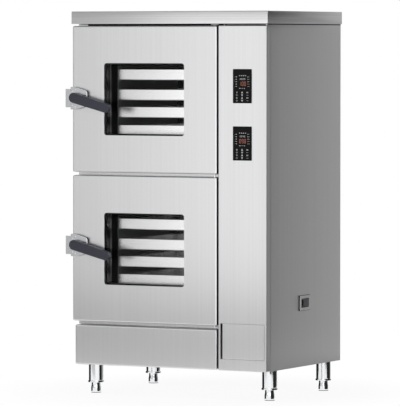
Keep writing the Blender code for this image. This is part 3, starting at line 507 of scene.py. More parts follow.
def rounded_loop(low: Point, high: Point, radius: float, steps: int) -> list[Pair]:
    """Walk once round a rounded rectangle.

    Args:
        low: Its lowest corner, as two places.
        high: Its highest corner.
        radius: Its corners' radius.
        steps: The number of facets in each corner.

    Returns:
        The points on its outline.
    """
    centres = (
        (high[0] - radius, high[1] - radius), (low[0] + radius, high[1] - radius),
        (low[0] + radius, low[1] + radius), (high[0] - radius, low[1] + radius),
    )
    loop = []
    for quarter, (u, v) in enumerate(centres):
        for step in range(steps + 1):
            angle = math.pi / 2 * (quarter + step / steps)
            loop.append((u + radius * math.cos(angle), v + radius * math.sin(angle)))
    return loop


def swept_mesh(
    low: Point, high: Point, radius_mm: float, profile: Sequence[Pair], ring: bool, steps: int = 8,
) -> Mesh:
    """Run a profile round a rounded rectangle that lies level.

    Args:
        low: The rectangle's lowest corner, as X and Y.
        high: Its highest corner.
        radius_mm: Its corners' radius.
        profile: Pairs of a distance in from the rectangle and a height, in millimetres.
        ring: Whether the profile closes on itself, or else ends in two flat faces.
        steps: The number of facets in each corner.

    Returns:
        The mesh.
    """
    bm = bmesh.new()
    loops = []
    for inset, height in mm(*profile):
        corners = rounded_loop(
            [p + inset for p in low[:2]], [p - inset for p in high[:2]],
            max(radius_mm * MM - inset, 0.2 * MM), steps,
        )
        loops.append([bm.verts.new((x, y, height)) for x, y in corners])
    pairs = list(zip(loops, loops[1:])) + ([(loops[-1], loops[0])] if ring else [])
    for first, second in pairs:
        for i, corner in enumerate(first):
            follow = (i + 1) % len(first)
            bm.faces.new((corner, first[follow], second[follow], second[i]))
    if not ring:
        bm.faces.new(loops[0])
        bm.faces.new(list(reversed(loops[-1])))
    bmesh.ops.recalc_face_normals(bm, faces=bm.faces)
    return bm


def stood(bm: Mesh, start: float, sideways: bool = False) -> Mesh:
    """Stand a level mesh up, so that its Y runs up.

    Args:
        bm: The mesh, which changes.
        start: The place where its height is zero, on Y, or on X if it stands sideways.
        sideways: Whether its heights run to the right and its X back, instead of its heights back.

    Returns:
        The same mesh.
    """
    for vert in bm.verts:
        x, y, z = vert.co
        vert.co = (start + z, x, y) if sideways else (x, start + z, y)
    bmesh.ops.recalc_face_normals(bm, faces=bm.faces)
    return bm


def thread(
    radius_mm: float, start_mm: float, end_mm: float, pitch_mm: float, depth_mm: float,
) -> list[Pair]:
    """Draw the profile of a thread, as rings.

    Args:
        radius_mm: The thread's outer radius.
        start_mm: The height where it starts.
        end_mm: The height where it ends.
        pitch_mm: The distance between its crests.
        depth_mm: Its depth.

    Returns:
        Radius and height pairs, in millimetres.
    """
    turns = max(1, int(abs(end_mm - start_mm) / pitch_mm))
    step = (end_mm - start_mm) / turns
    inner, points = radius_mm - depth_mm, []
    for foot in (start_mm + turn * step for turn in range(turns)):
        points += [(inner, foot), (radius_mm, foot + 0.4 * step), (radius_mm, foot + 0.6 * step)]
    return points + [(inner, end_mm)]


def hexagon(radius_mm: float, start_mm: float, end_mm: float) -> list[Pair]:
    """Draw the profile of a nut with chamfered ends; its radius is that of its corners."""
    chamfer = 0.06 * radius_mm
    return [
        (0.0, start_mm), (radius_mm - chamfer, start_mm), (radius_mm, start_mm + chamfer),
        (radius_mm, end_mm - chamfer), (radius_mm - chamfer, end_mm), (0.0, end_mm),
    ]


def screw_heads(places: Iterable[Point], axis: Point, radius_mm: float) -> Mesh:
    """Make button-head screws with round sockets.

    Args:
        places: The middle of each one's underside.
        axis: The direction they stand out in.
        radius_mm: Their radius.

    Returns:
        The mesh.
    """
    shares = (
        (0, 0.10), (0.42, 0.10), (0.46, 0.50), (0.62, 0.48),
        (0.85, 0.33), (1, 0.12), (1, -0.10), (0, -0.10),
    )
    profile = [(across * radius_mm, up * radius_mm) for across, up in shares]
    return joined(turned_mesh(profile, place, axis, steps=24) for place in places)


def merged_copy(node: str) -> Mesh:
    """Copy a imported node's mesh and join its loose triangles into clean faces.

    Args:
        node: The node's name.

    Returns:
        The mesh.
    """
    bm = bmesh.new()
    bm.from_mesh(frame["nodes"][node].data)
    bmesh.ops.remove_doubles(bm, verts=bm.verts, dist=0.01 * MM)
    bmesh.ops.dissolve_limit(bm, angle_limit=math.radians(0.3), verts=bm.verts, edges=bm.edges)
    return bm


def pivot_of(body: str) -> Vector:
    """Find the place of the joint that a body turns on."""
    return next(Vector(joint["pos_m"]) for joint in frame["joints"] if joint["child"] == body)


def middle_of(node: str) -> Pair:
    """Find the X and Y places of a node's upright axis."""
    low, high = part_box(node)
    return (low.x + high.x) / 2, (low.y + high.y) / 2


def add_object(name: str, data: bpy.types.ID) -> bpy.types.Object:
    """Put a mesh, camera or lamp in the scene, at the origin."""
    obj = bpy.data.objects.new(name, data)
    bpy.context.scene.collection.objects.link(obj)
    return obj


def aim(obj: bpy.types.Object, direction: Vector) -> None:
    """Turn a camera or a lamp to look along a direction."""
    obj.rotation_mode = "QUATERNION"
    obj.rotation_quaternion = direction.to_track_quat("-Z", "Y")


def emptied(owner: bpy.types.Material | bpy.types.World) -> Tree:
    """Empty the nodes of a material or a world, and give its tree."""
    owner.use_nodes = True
    owner.node_tree.nodes.clear()
    return owner.node_tree


@dataclass
class Piece:
    """A visible piece: its mesh, finish and place in the model.

    Attributes:
        name: The piece's name.
        body: The body that it rides on.
        finish: Its finish.
        replaces: The nodes that it stands for.
        smooth_deg: The angle below which neighbouring faces shade as one.
    """

    name: str
    body: str
    finish: Finish
    replaces: tuple[str, ...] = ()
    smooth_deg: float = 50.0

    def make(self, bm: Mesh, edge_mm: float = 0.0) -> None:
        """Turn a mesh into the finished piece.

        Args:
            bm: The mesh, in place; it is freed.
            edge_mm: The width of the rounding of its sharp edges, or 0 for none.
        """
        mesh = bpy.data.meshes.new(self.name)
        bm.to_mesh(mesh)
        bm.free()
        mesh.materials.append(paint(self.finish))
        mesh.shade_smooth()
        mesh.set_sharp_from_angle(angle=math.radians(self.smooth_deg))
        obj = add_object(self.name, mesh)
        if edge_mm:
            rounding = obj.modifiers.new("edge", "BEVEL")
            rounding.width = edge_mm * MM
            rounding.segments = 2
            rounding.limit_method = "ANGLE"
            rounding.angle_limit = math.radians(self.smooth_deg)
            rounding.harden_normals = False
        even = obj.modifiers.new("even_shading", "WEIGHTED_NORMAL")
        even.weight = 100
        even.keep_sharp = True
        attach(obj, self.body)
        if self.replaces:
            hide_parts(*self.replaces)
        LOG.info("%s: %d faces", self.name, len(mesh.polygons))


def dress(rows: Iterable[tuple[str, str, Finish, float]], ending: str = "dressed") -> None:
    """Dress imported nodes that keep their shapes: each with its body, its finish and its edges' rounding."""
    for node, body, finish, edge_mm in rows:
        Piece(f"{node}_{ending}", body, finish, (node,)).make(merged_copy(node), edge_mm)


@dataclass(frozen=True)
class Sheetwork:
    """The folded sheet panels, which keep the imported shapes, with the flap's pins and the back's screws.

    Attributes:
        edge_mm: The rounding of the sheets' edges.
        pin_mm: A flap pin's profile, as radius and height pairs.
        screw_mm: How far the screws stay inside the back panel's edges, and their radius.
    """

    edge_mm: float = 0.4
    pin_mm: tuple[Pair, ...] = ((0, -6), (1.1, -6), (1.1, 3), (0.8, 3.4), (0, 3.4))
    screw_mm: Pair = (9.0, 4.0)

    def build(self) -> None:
        """Dress every panel, and make the pins and the screws."""
        sides = ("left_side_panel", "right_side_panel", "back_panel", "base_pan", "column_divider")
        groups = (
            (Finish.CAP_STEEL, ("top_cover",)),
            (Finish.SIDE_STEEL, sides),
            (Finish.DOOR_STEEL, ("front_frame", "kick_panel", "column_fascia")),
            # The top bracket, seen in the gap under the cap, takes the darker steel as painted shade.
            (Finish.SHADED_GREY_STEEL, ("top_hinge_bracket",)),
            (Finish.DOOR_STEEL, ("middle_hinge_bracket", "bottom_hinge_bracket")),
        )
        panels = [(node, CABINET, finish, self.edge_mm) for finish, nodes in groups for node in nodes]
        flap = ("access_flap", "access_flap", Finish.DOOR_STEEL, self.edge_mm)
        dress([*panels, flap], "sheet")
        self.make_flap_pins()
        self.make_back_screws()

    def make_flap_pins(self) -> None:
        """The two pins that the flap turns on, behind the fascia above and below it."""
        low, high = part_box("access_flap")
        pivot = pivot_of("access_flap")
        pins = joined(
            turned_mesh(self.pin_mm, (pivot.x, pivot.y, z), axis, steps=20)
            for z, axis in ((low.z, DOWN), (high.z, UP))
        )
        Piece("access_flap_pins", "access_flap", Finish.CHROME).make(pins)

    def make_back_screws(self) -> None:
        """The screws round the edge of the back panel, but for its top edge."""
        low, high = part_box("back_panel")
        inset = self.screw_mm[0] * MM
        places = [
            (x, high.y, low.z + inset + share * (high.z - low.z - 5 * inset))
            for share in (0.0, 0.2, 0.4, 0.6, 0.8, 1.0) for x in (low.x + inset, high.x - inset)
        ]
        places += [
            (low.x + share * (high.x - low.x), high.y, low.z + inset) for share in (0.25, 0.5, 0.75)
        ]
        screws = screw_heads(places, BACK, self.screw_mm[1])
        Piece("back_panel_screws", CABINET, Finish.CHROME).make(screws)


@dataclass(frozen=True)
class ShadeStrips:
    """The black strips beside and over the doors and under the cap, which paint the shade in those gaps and
    the shadow line under the cap's edge.

    Attributes:
        shade_strip_mm: The thickness of the strips on the fascia and on the front frame.
        reach_mm: How far the upright strip starts behind the fascia's front, and stays short of the frame.
        cover_mm: How far the frame's strips reach behind the doors' right and top edges.
        under_mm: How far the strips at the sides stand out from the panels and hang below the cap.
        head_mm: How far the strip under the cap starts from the frame's left edge.
    """

    shade_strip_mm: Pair = (0.6, 1.2)
    reach_mm: Pair = (3.5, 1.5)
    cover_mm: Pair = (8.0, 3.0)
    under_mm: Pair = (2.4, 4.6)
    head_mm: float = 45.0

    def build(self) -> None:
        """Make the strips."""
        (fascia, _), (kick, _), (_, door) = map(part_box, ("column_fascia", "kick_panel", "upper_door_skin"))
        low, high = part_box("front_frame")
        (thick, deep), (start, short), (beside, over) = mm(self.shade_strip_mm, self.reach_mm, self.cover_mm)
        foot, back = kick.z + start, low.y + BITE
        strips = joined((
            slab((fascia.x - thick, fascia.y + start, foot), (fascia.x + BITE, low.y - short, door.z)),
            slab((door.x - beside, low.y - deep, foot), (fascia.x - thick, back, door.z)),
            slab((low.x + self.head_mm * MM, low.y - deep, door.z - over), (fascia.x - over, back, high.z)),
        ))
        # Painted shade: black strips fill the gaps beside and above the doors.
        Piece("door_gap_shade_strips", CABINET, Finish.FRAME_ABS).make(strips, edge_mm=0.2)
        # Painted shadow line under the cap's edge on both sides.
        Piece("cap_side_shade_strips", CABINET, Finish.FRAME_ABS).make(joined(self.side_shade_strips()), edge_mm=0.3)

    def side_shade_strips(self) -> Iterator[Mesh]:
        """Make the black strips on both side panels, under the cap's edge, which paint the shadow line there.

        Yields:
            Their meshes.
        """
        cap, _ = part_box("top_cover")
        out, down = (side * MM for side in self.under_mm)
        for node, side in (("right_side_panel", 1), ("left_side_panel", -1)):
            low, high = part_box(node)
            face = high.x if side > 0 else low.x
            near, far = sorted((face - side * BITE, face + side * out))
            yield slab((near, low.y, cap.z - down), (far, high.y - down, cap.z + down))


@dataclass(frozen=True)
class Door:
    """One door: skin, inner pan, window surround, pane and seal.

    Attributes:
        level: Which of the two doors.
        seal_mm: The width and the corner radius of the seal.
        lip_mm: The outline of its soft lip: places across it, and heights as shares of its thickness.
        shade_strip_mm: How far the black strip of painted shade on the skin's right side stays short of its
            ends, and its thickness.
        screw_mm: How far the pan's screws stay inside its edges, and their radius.
        screw_shares: The heights of those screws, as shares of the pan's.
    """

    level: str
    seal_mm: Pair = (14.0, 20.0)
    lip_mm: tuple[Pair, ...] = ((0, 0.42), (0.8, 0.72), (2.2, 1), (3.6, 0.8), (4.6, 0.45))
    shade_strip_mm: Pair = (3.2, 0.5)
    screw_mm: Pair = (17.0, 4.2)
    screw_shares: tuple[float, ...] = (0.12, 0.37, 0.63, 0.88)

    def build(self) -> None:
        """Dress the door's pieces, and make its seal, screws and the edge strip that paints the shade beside
        the column.
        """
        rows = (
            ("door_skin", Finish.DOOR_STEEL, 0.5), ("door_liner", Finish.DOOR_STEEL, 0.4),
            ("window_surround", Finish.FRAME_ABS, 0.8), ("window_glass", Finish.GLASS, 0.0),
        )
        dress((f"{self.level}_{part}", self.body, finish, edge_mm) for part, finish, edge_mm in rows)
        self.make_seal()
        self.make_liner_screws()
        self.make_edge_shade_strip()

    @property
    def body(self) -> str:
        """The door's body."""
        return f"{self.level}_door"

    def make_seal(self) -> None:
        """Mould the seal: a flat strip with two soft lips, run round the chamber's mouth."""
        node = f"{self.body}_gasket"
        low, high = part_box(node)
        width, radius_mm = self.seal_mm
        outer = [(width - across, share) for across, share in self.lip_mm]
        strip = [(0, 0), (width, 0), *outer, *reversed(self.lip_mm)]
        profile = [(across, share * (high.y - low.y) / MM) for across, share in strip]
        bm = swept_mesh((low.x, low.z), (high.x, high.z), radius_mm, profile, ring=True)
        Piece(f"{node}_moulded", self.body, Finish.SEAL_RUBBER, (node,)).make(stood(bm, low.y))

    def make_liner_screws(self) -> None:
        """The screws that hold the inner pan, outside the seal."""
        low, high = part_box(f"{self.body}_liner")
        inset = self.screw_mm[0] * MM
        places = [
            (side, high.y, low.z + share * (high.z - low.z))
            for side in (low.x + inset, high.x - inset) for share in self.screw_shares
        ]
        screws = screw_heads(places, BACK, self.screw_mm[1])
        Piece(f"{self.body}_screws", self.body, Finish.CHROME).make(screws)

    def make_edge_shade_strip(self) -> None:
        """The black strip along the skin's right side, behind its fold, which paints the deep shade in the
        gap beside the column.
        """
        low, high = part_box(f"{self.body}_skin")
        start, thick = (share * MM for share in self.shade_strip_mm)
        strip = slab(
            (high.x - BITE, low.y + start, low.z + start), (high.x + thick, high.y - start, high.z - start),
        )
        # Painted shade: a black strip where the gap beside the column is in deep shade.
        Piece(f"{self.body}_edge_shade_strip", self.body, Finish.FRAME_ABS).make(strip, edge_mm=0.2)


@dataclass(frozen=True)
class Chamber:
    """One steam chamber with its rack and trays.

    Attributes:
        level: Which of the two chambers.
        trays: The number of its trays.
        corner_mm: The radius of a tray's upright corners.
        floor_mm: The radius between a tray's walls and its floor.
        wall_mm: The thickness of its steel.
        bead_mm: The radius of the bead rolled along its rim.
    """

    level: str
    trays: int = 4
    corner_mm: float = 5.2
    floor_mm: float = 5.0
    wall_mm: float = 0.9
    bead_mm: float = 1.4

    def build(self) -> None:
        """Dress the chamber and its rack, and make its trays."""
        # The chamber's dark grey steel is painted shade.
        parts = (("chamber", Finish.SHADED_CHAMBER_STEEL), ("tray_rack", Finish.RACK_STEEL))
        dress((f"{self.level}_{part}", CABINET, finish, 0.3) for part, finish in parts)
        for number in range(1, self.trays + 1):
            self.make_tray(f"{self.level}_tray_{number}")

    def make_tray(self, node: str) -> None:
        """Draw one tray: rounded corners, a rounded floor edge and a rolled bead along the rim.

        Args:
            node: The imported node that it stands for.
        """
        low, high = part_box(node)
        tall = (high.z - low.z) / MM
        wall, bead, curve = self.wall_mm, self.bead_mm, self.floor_mm
        quarter = [(math.sin(math.pi / 2 * i / 5), math.cos(math.pi / 2 * i / 5)) for i in range(6)]
        half = [(math.sin(math.pi * i / 6), math.cos(math.pi * i / 6)) for i in range(6, -1, -1)]
        profile = [
            *((curve - (curve - wall) * s, curve - (curve - wall) * c) for s, c in quarter),
            (wall, tall - 2.9 * bead), (2 * bead, tall - 1.6 * bead),
            *((bead - bead * c, tall - bead + bead * s) for s, c in half), (0.0, tall - 2 * bead),
            *((curve - curve * s, curve - curve * c) for s, c in reversed(quarter)),
        ]
        placed = [(inset, low.z / MM + up) for inset, up in profile]
        tray = swept_mesh(low, high, self.corner_mm, placed, ring=False)
        Piece(f"{node}_drawn", CABINET, Finish.TRAY_STEEL, (node,), smooth_deg=40.0).make(tray)


def capsule(ends: Iterable[Pair], height: float, back: float, front: float) -> Mesh:
    """Make a plate whose outline runs round two circles.

    Args:
        ends: The X place and radius of the left circle and of the right one.
        height: The height of both.
        back: The depth of the plate's back.
        front: The depth of its front.

    Returns:
        The mesh.
    """
    outline = []
    steps = 20
    for (x, radius), start in zip(ends, (math.pi / 2, -math.pi / 2)):
        for angle in (start + math.pi * step / steps for step in range(steps + 1)):
            outline.append((x + radius * math.cos(angle), height + radius * math.sin(angle)))
    return outline_plate(outline, back, front)


@dataclass(frozen=True)
class Latch:
    """One door latch: a black pad whose side also paints the dark shade round the base, a bright plate on the
    door, a nylon lever and a bent keeper.

    Attributes:
        level: Which of the two latches.
        pad_and_shade_mm: The thickness of the black pad, which sets the width of the painted shade along the
            base's side.
        inset_mm: How far the pad stays inside the plate's outline.
        nose_mm: The height of the plate's right end.
        shoulder_mm: Where the plate starts to narrow, from its left end.
        rounds_mm: The radii of the plate's left corners, shoulders and right corners.
        rim_mm: The profile of the ring round the lever's stem.
        edges_mm: The rounding of the front edges of the plate, the lever and its tab.
        screws_mm: The screws' places from the plate's left end and middle.
        head_mm: The radius of their heads.
        sunk_mm: How far the heads are sunk into the plate, so that the lever passes over them.
        lever_widths_mm: The lever's width at its root and at its tip.
        lever_reach_mm: How far it reaches beyond its pivot to the left and to the right.
        lever_thickness_mm: Its thickness.
        panel_mm: The steps of its sunk front panel, inwards and outwards.
        tab_mm: The places of its thumb tab's ends, right of the pivot, and their radii.
        tab_rise_mm: How far the tab stands above the pivot.
        tab_depth_mm: How far the tab's back and front lie behind the lever's back.
        stem_mm: The profile of its stem, from its back.
        droop_deg: How far it hangs below level at rest.
    """

    level: str
    pad_and_shade_mm: float = 14.0
    inset_mm: float = 0.8
    nose_mm: float = 62.0
    shoulder_mm: float = 22.0
    rounds_mm: tuple[float, float, float] = (4.0, 14.0, 9.0)
    rim_mm: tuple[Pair, ...] = ((12, 0), (17, 0), (16.4, 1.4), (12.6, 1.6), (12, 1.0), (12, 0))
    edges_mm: tuple[float, float, float] = (1.6, 3.5, 2.0)
    screws_mm: tuple[Pair, ...] = ((21.0, 34.0), (21.0, -34.0), (8.0, 28.0), (8.0, -28.0))
    head_mm: float = 3.6
    sunk_mm: float = 1.1
    lever_widths_mm: Pair = (42.0, 38.0)
    lever_reach_mm: Pair = (28.0, 168.0)
    lever_thickness_mm: float = 24.0
    panel_mm: tuple[Pair, ...] = ((2.5, 0.0), (1.2, -0.9))
    tab_mm: tuple[Pair, Pair] = ((14.0, 6.0), (30.0, 9.0))
    tab_rise_mm: float = 14.0
    tab_depth_mm: Pair = (1.4, -8.0)
    stem_mm: tuple[Pair, ...] = ((0, -2.1), (13, -2.1), (13, 0.1), (0, 0.1))
    droop_deg: float = 15.5

    def build(self) -> None:
        """Make the pad, plate, screws, lever and keeper."""
        base, door = f"{self.level}_latch_base", f"{self.level}_door"
        low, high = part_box(base)
        pivot, middle = pivot_of(f"{self.level}_latch"), (low.z + high.z) / 2
        seam = high.y - self.pad_and_shade_mm * MM
        # The black pad is partly real and partly painted shade along the base's side.
        pad = self.outline(low, high, high.y, seam, self.inset_mm * MM)
        Piece(f"{base}_pad", door, Finish.FRAME_ABS).make(pad)
        plate = self.outline(low, high, seam - 0.2 * MM, low.y, 0.0)
        ease(plate, front_face(plate).edges, self.edges_mm[0], segments=4)
        rim = turned_mesh(self.rim_mm, (pivot.x, low.y + 0.1 * MM, middle), FRONT, steps=48)
        Piece(f"{base}_plate", door, Finish.CAST_CHROME, (base,)).make(joined((plate, rim)))
        deep = low.y + self.sunk_mm * MM
        places = [(low.x + across, deep, middle + up) for across, up in mm(*self.screws_mm)]
        Piece(f"{base}_screws", door, Finish.CHROME).make(screw_heads(places, FRONT, self.head_mm))
        self.make_lever(pivot)
        dress([(f"{self.level}_keeper", CABINET, Finish.CAST_CHROME, 0.5)], "bent")

    def outline(self, low: Vector, high: Vector, back: float, front: float, inset: float) -> Mesh:
        """Make a plate with the latch base's outline.

        Args:
            low: The base's lowest corner.
            high: Its highest corner.
            back: The depth of the plate's back.
            front: The depth of its front.
            inset: How far it stays inside the base's outline.

        Returns:
            The mesh.
        """
        middle, half = (low.z + high.z) / 2, (high.z - low.z) / 2 - inset
        nose = self.nose_mm * MM / 2 - inset
        left, right, shoulder = low.x + inset, high.x - inset, low.x + self.shoulder_mm * MM
        corners = (
            (left, -half), (shoulder, -half), (right, -nose), (right, nose), (shoulder, half), (left, half),
        )
        bm = outline_plate([(x, middle + z) for x, z in corners], back, front)
        for x, radius_mm in zip((left, shoulder, right), self.rounds_mm):
            ease(bm, [e for e in edges_along(bm, 1) if abs(e.verts[0].co.x - x) < 0.1 * MM], radius_mm, 8)
        return bm

    def make_lever(self, pivot: Vector) -> None:
        """Make the lever: a tapered bar with round ends, a sunk front panel and a thumb tab.

        Args:
            pivot: The place of its joint.
        """
        node = f"{self.level}_latch_lever"
        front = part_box(node)[0].y
        back = front + self.lever_thickness_mm * MM
        (root, tip), (left, right) = mm(self.lever_widths_mm, self.lever_reach_mm)
        ends = ((pivot.x + root / 2 - left, root / 2), (pivot.x + right - tip / 2, tip / 2))
        bar = capsule(ends, pivot.z, back, front)
        ease(bar, front_face(bar).edges, self.edges_mm[1], segments=5)
        panel = front_face(bar)
        for inset, depth in mm(*self.panel_mm):
            bmesh.ops.inset_individual(bar, faces=[panel], thickness=inset, depth=depth)
        ends = ((pivot.x + x, radius) for x, radius in mm(*self.tab_mm))
        depths = (back + deep * MM for deep in self.tab_depth_mm)
        tab = capsule(ends, pivot.z + self.tab_rise_mm * MM, *depths)
        ease(tab, front_face(tab).edges, self.edges_mm[2])
        stem = turned_mesh(self.stem_mm, (pivot.x, back, pivot.z), FRONT, steps=40)
        lever = joined((bar, tab, stem))
        turn = Matrix.Rotation(math.radians(self.droop_deg), 3, "Y")
        bmesh.ops.rotate(lever, cent=pivot, matrix=turn, verts=lever.verts)
        body = f"{self.level}_latch"
        Piece(f"{node}_moulded", body, Finish.LEVER_NYLON, (node,), smooth_deg=30.0).make(lever)


class Glyph(Enum):
    """The generic signs on a controller's keys, in the order in which they repeat."""

    RING = "ring"
    UP = "up"
    BARS = "bars"
    PLUS = "plus"
    DOWN = "down"
    MINUS = "minus"


LIT = {
    "0": "abcdef", "1": "bc", "2": "abged", "3": "abgcd", "4": "fgbc",
    "5": "afgcd", "6": "afgedc", "7": "abc", "8": "abcdefg", "9": "abfgcd",
}
SEGMENTS = {
    "a": (0, 1), "b": (1, 1), "c": (1, -1), "d": (0, -1), "e": (-1, -1), "f": (-1, 1), "g": (0, 0),
}


@dataclass(frozen=True)
class Display:
    """The place and size of a row of seven-segment digits.

    Attributes:
        at: The row's middle, in shares of the face.
        size_mm: A digit's width and height.
        pitch_mm: The distance from one digit to the next.
        bar_mm: The width of a segment.
    """

    at: Pair
    size_mm: Pair
    pitch_mm: float
    bar_mm: float


@dataclass(frozen=True)
class Controller:
    """One digital controller: a gloss face with a display, indicator lamps and touch keys.

    Places on the face are shares of its width from the left and of its height from the top, and small
    plates are given as their middle, their size in millimetres and how far they stand off the face.

    Attributes:
        level: Which of the two controllers.
        numbers: The numbers on its small and its large display.
        small: The small display.
        large: The large display.
        window: The middle of the pane over the displays, and its size.
        key_columns: The places of the columns of keys.
        key_rows: The places of the rows of keys.
        key_mm: The width and height of a key's pane.
        lamp_rows: The places of the rows of indicator lamps.
        lamp_columns: The places of the two columns of lamps.
        lamp_mm: A lamp's profile.
        grey_lamps: How many lamps of the right column are grey; the others are red.
        dash_mm: How far outside a lamp its line lies, and the line's size.
        marks: The places of the small marks over and under the displays, and their sizes.
        sign_mm: Half the width of a key's sign, half the width of its bars, and the bars' distance.
    """

    level: str
    numbers: tuple[str, str]
    small: Display = Display((0.525, 0.292), (4.0, 6.6), pitch_mm=6.6, bar_mm=0.9)
    large: Display = Display((0.525, 0.43), (7.6, 17.0), pitch_mm=11.0, bar_mm=1.3)
    window: tuple[Pair, Pair] = ((0.52, 0.375), (39.0, 66.0))
    key_columns: tuple[float, ...] = (0.22, 0.50, 0.78)
    key_rows: tuple[float, ...] = (0.685, 0.765, 0.845, 0.925)
    key_mm: Pair = (14.4, 6.8)
    lamp_rows: tuple[float, ...] = (0.23, 0.30, 0.37, 0.44, 0.51)
    lamp_columns: Pair = (0.20, 0.81)
    lamp_mm: tuple[Pair, ...] = ((0, 0.5), (1.2, 0.4), (1.7, 0.1), (1.7, -0.05), (0, -0.05))
    grey_lamps: int = 3
    dash_mm: tuple[float, Pair] = (5.0, (3.6, 0.9))
    marks: tuple[tuple[Pair, Pair], ...] = (
        ((0.37, 0.195), (5.2, 2.6)), ((0.475, 0.195), (5.2, 2.6)), ((0.58, 0.195), (5.2, 2.6)),
        ((0.685, 0.195), (5.2, 2.6)), ((0.38, 0.565), (7.0, 2.2)), ((0.50, 0.565), (3.0, 2.2)),
        ((0.62, 0.565), (5.0, 2.2)),
    )
    sign_mm: tuple[float, float, float] = (4.4, 0.45, 1.8)

    def build(self) -> None:
        """Make the housing, the face, the displays, the lamps and the keys."""
        dress([(self.node, CABINET, Finish.FACE_ACRYLIC, 0.5)], "housing")
        window = self.plate(*self.window, proud_mm=0.15)
        keys = [self.plate(key, self.key_mm, proud_mm=0.32) for key in self.keys()]
        red_lamps = [self.lamp(self.lamp_columns[1], row) for row in self.lamp_rows[self.grey_lamps:]]
        rows = (
            ("panes", Finish.FACE_ACRYLIC, [window, *keys]),
            ("print", Finish.KEY_PRINT, self.printed()),
            ("small_number", Finish.GREY_SEGMENT, self.digits(self.numbers[0], self.small)),
            ("large_number", Finish.RED_SEGMENT, [*self.digits(self.numbers[1], self.large), *red_lamps]),
        )
        for part, finish, meshes in rows:
            Piece(f"{self.node}_{part}", CABINET, finish).make(joined(meshes))

    @property
    def node(self) -> str:
        """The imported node."""
        return f"{self.level}_controller"

    def keys(self) -> list[Pair]:
        """Place the keys' middles, row by row."""
        return [(column, row) for row in self.key_rows for column in self.key_columns]

    def spot(self, across: float, down: float) -> Vector:
        """Find a place on the face from its shares."""
        low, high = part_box(self.node)
        return Vector((low.x + across * (high.x - low.x), low.y, high.z - down * (high.z - low.z)))

    def plate(self, at: Pair, size_mm: Pair, proud_mm: float) -> Mesh:
        """Make a thin rectangle on the face, by its middle, its size and how far it stands off."""
        place, side = self.spot(*at), Vector((size_mm[0], 0, size_mm[1])) * MM / 2
        return slab(place - side - Vector((0, proud_mm * MM, 0)), place + side + Vector((0, BITE, 0)))

    def lamp(self, across: float, down: float) -> Mesh:
        """Make one round indicator lamp at its place on the face."""
        return turned_mesh(self.lamp_mm, self.spot(across, down), FRONT, steps=16)

    def printed(self) -> Iterator[Mesh]:
        """Make the grey print: the keys' signs, the lamps and their lines.

        Yields:
            Its parts.
        """
        signs = list(Glyph)
        for count, key in enumerate(self.keys()):
            yield from self.sign(signs[count % len(signs)], self.spot(*key))
        low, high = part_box(self.node)
        out_mm, dash_mm = self.dash_mm
        beside = out_mm * MM / (high.x - low.x)
        for column, outward, grey in zip(self.lamp_columns, (-beside, beside), (None, self.grey_lamps)):
            for row in self.lamp_rows[:grey]:
                yield self.lamp(column, row)
            for row in self.lamp_rows:
                yield self.plate((column + outward, row), dash_mm, proud_mm=0.12)
        for mark in self.marks:
            yield self.plate(*mark, proud_mm=0.3)

    def sign(self, sign: Glyph, place: Vector) -> Iterator[Mesh]:
        """Make a key's sign.

        Args:
            sign: The sign.
            place: The key's middle.

        Yields:
            Its parts.
        """
        x, y, z = place
        reach, bar, apart = (side * MM for side in self.sign_mm)
        front, back = y - 0.42 * MM, y - 0.1 * MM
        if sign in (Glyph.UP, Glyph.DOWN):
            point = reach if sign is Glyph.UP else -reach
            foot = z - point * 0.7
            yield outline_plate([(x - reach, foot), (x + reach, foot), (x, z + point)], back, front)
        elif sign is Glyph.RING:
            ring = ((1.8, 0), (3.0, 0), (3.0, 0.1), (1.8, 0.1), (1.8, 0))
            yield turned_mesh(ring, (x, y - 0.32 * MM, z), FRONT, steps=24)
        else:
            for up in (-apart, 0.0, apart) if sign is Glyph.BARS else (0.0,):
                yield slab((x - reach, front, z + up - bar), (x + reach, back, z + up + bar))
            if sign is Glyph.PLUS:
                yield slab((x - bar, front, z - reach), (x + bar, back, z + reach))

    def digits(self, number: str, display: Display) -> Iterator[Mesh]:
        """Make a row of seven-segment digits.

        Args:
            number: The digits.
            display: Where they stand, and their size.

        Yields:
            The lit segments.
        """
        pitch, bar = display.pitch_mm * MM, display.bar_mm * MM / 2
        wide, tall = (side * MM / 2 for side in display.size_mm)
        depth = Vector((0, 0.08 * MM, 0))
        first = self.spot(*display.at) - Vector((pitch * (len(number) - 1) / 2, 0.25 * MM, 0))
        for place, digit in enumerate(number):
            for across, up in (SEGMENTS[name] for name in LIT[digit]):
                x, z = across * (wide - bar), up * (tall / 2 if across else tall - bar)
                half = Vector((bar, 0, tall / 2 - bar * 0.6) if across else (wide - bar, 0, bar)) + depth
                centre = first + Vector((place * pitch + x, 0, z))
                yield slab(centre - half, centre + half)


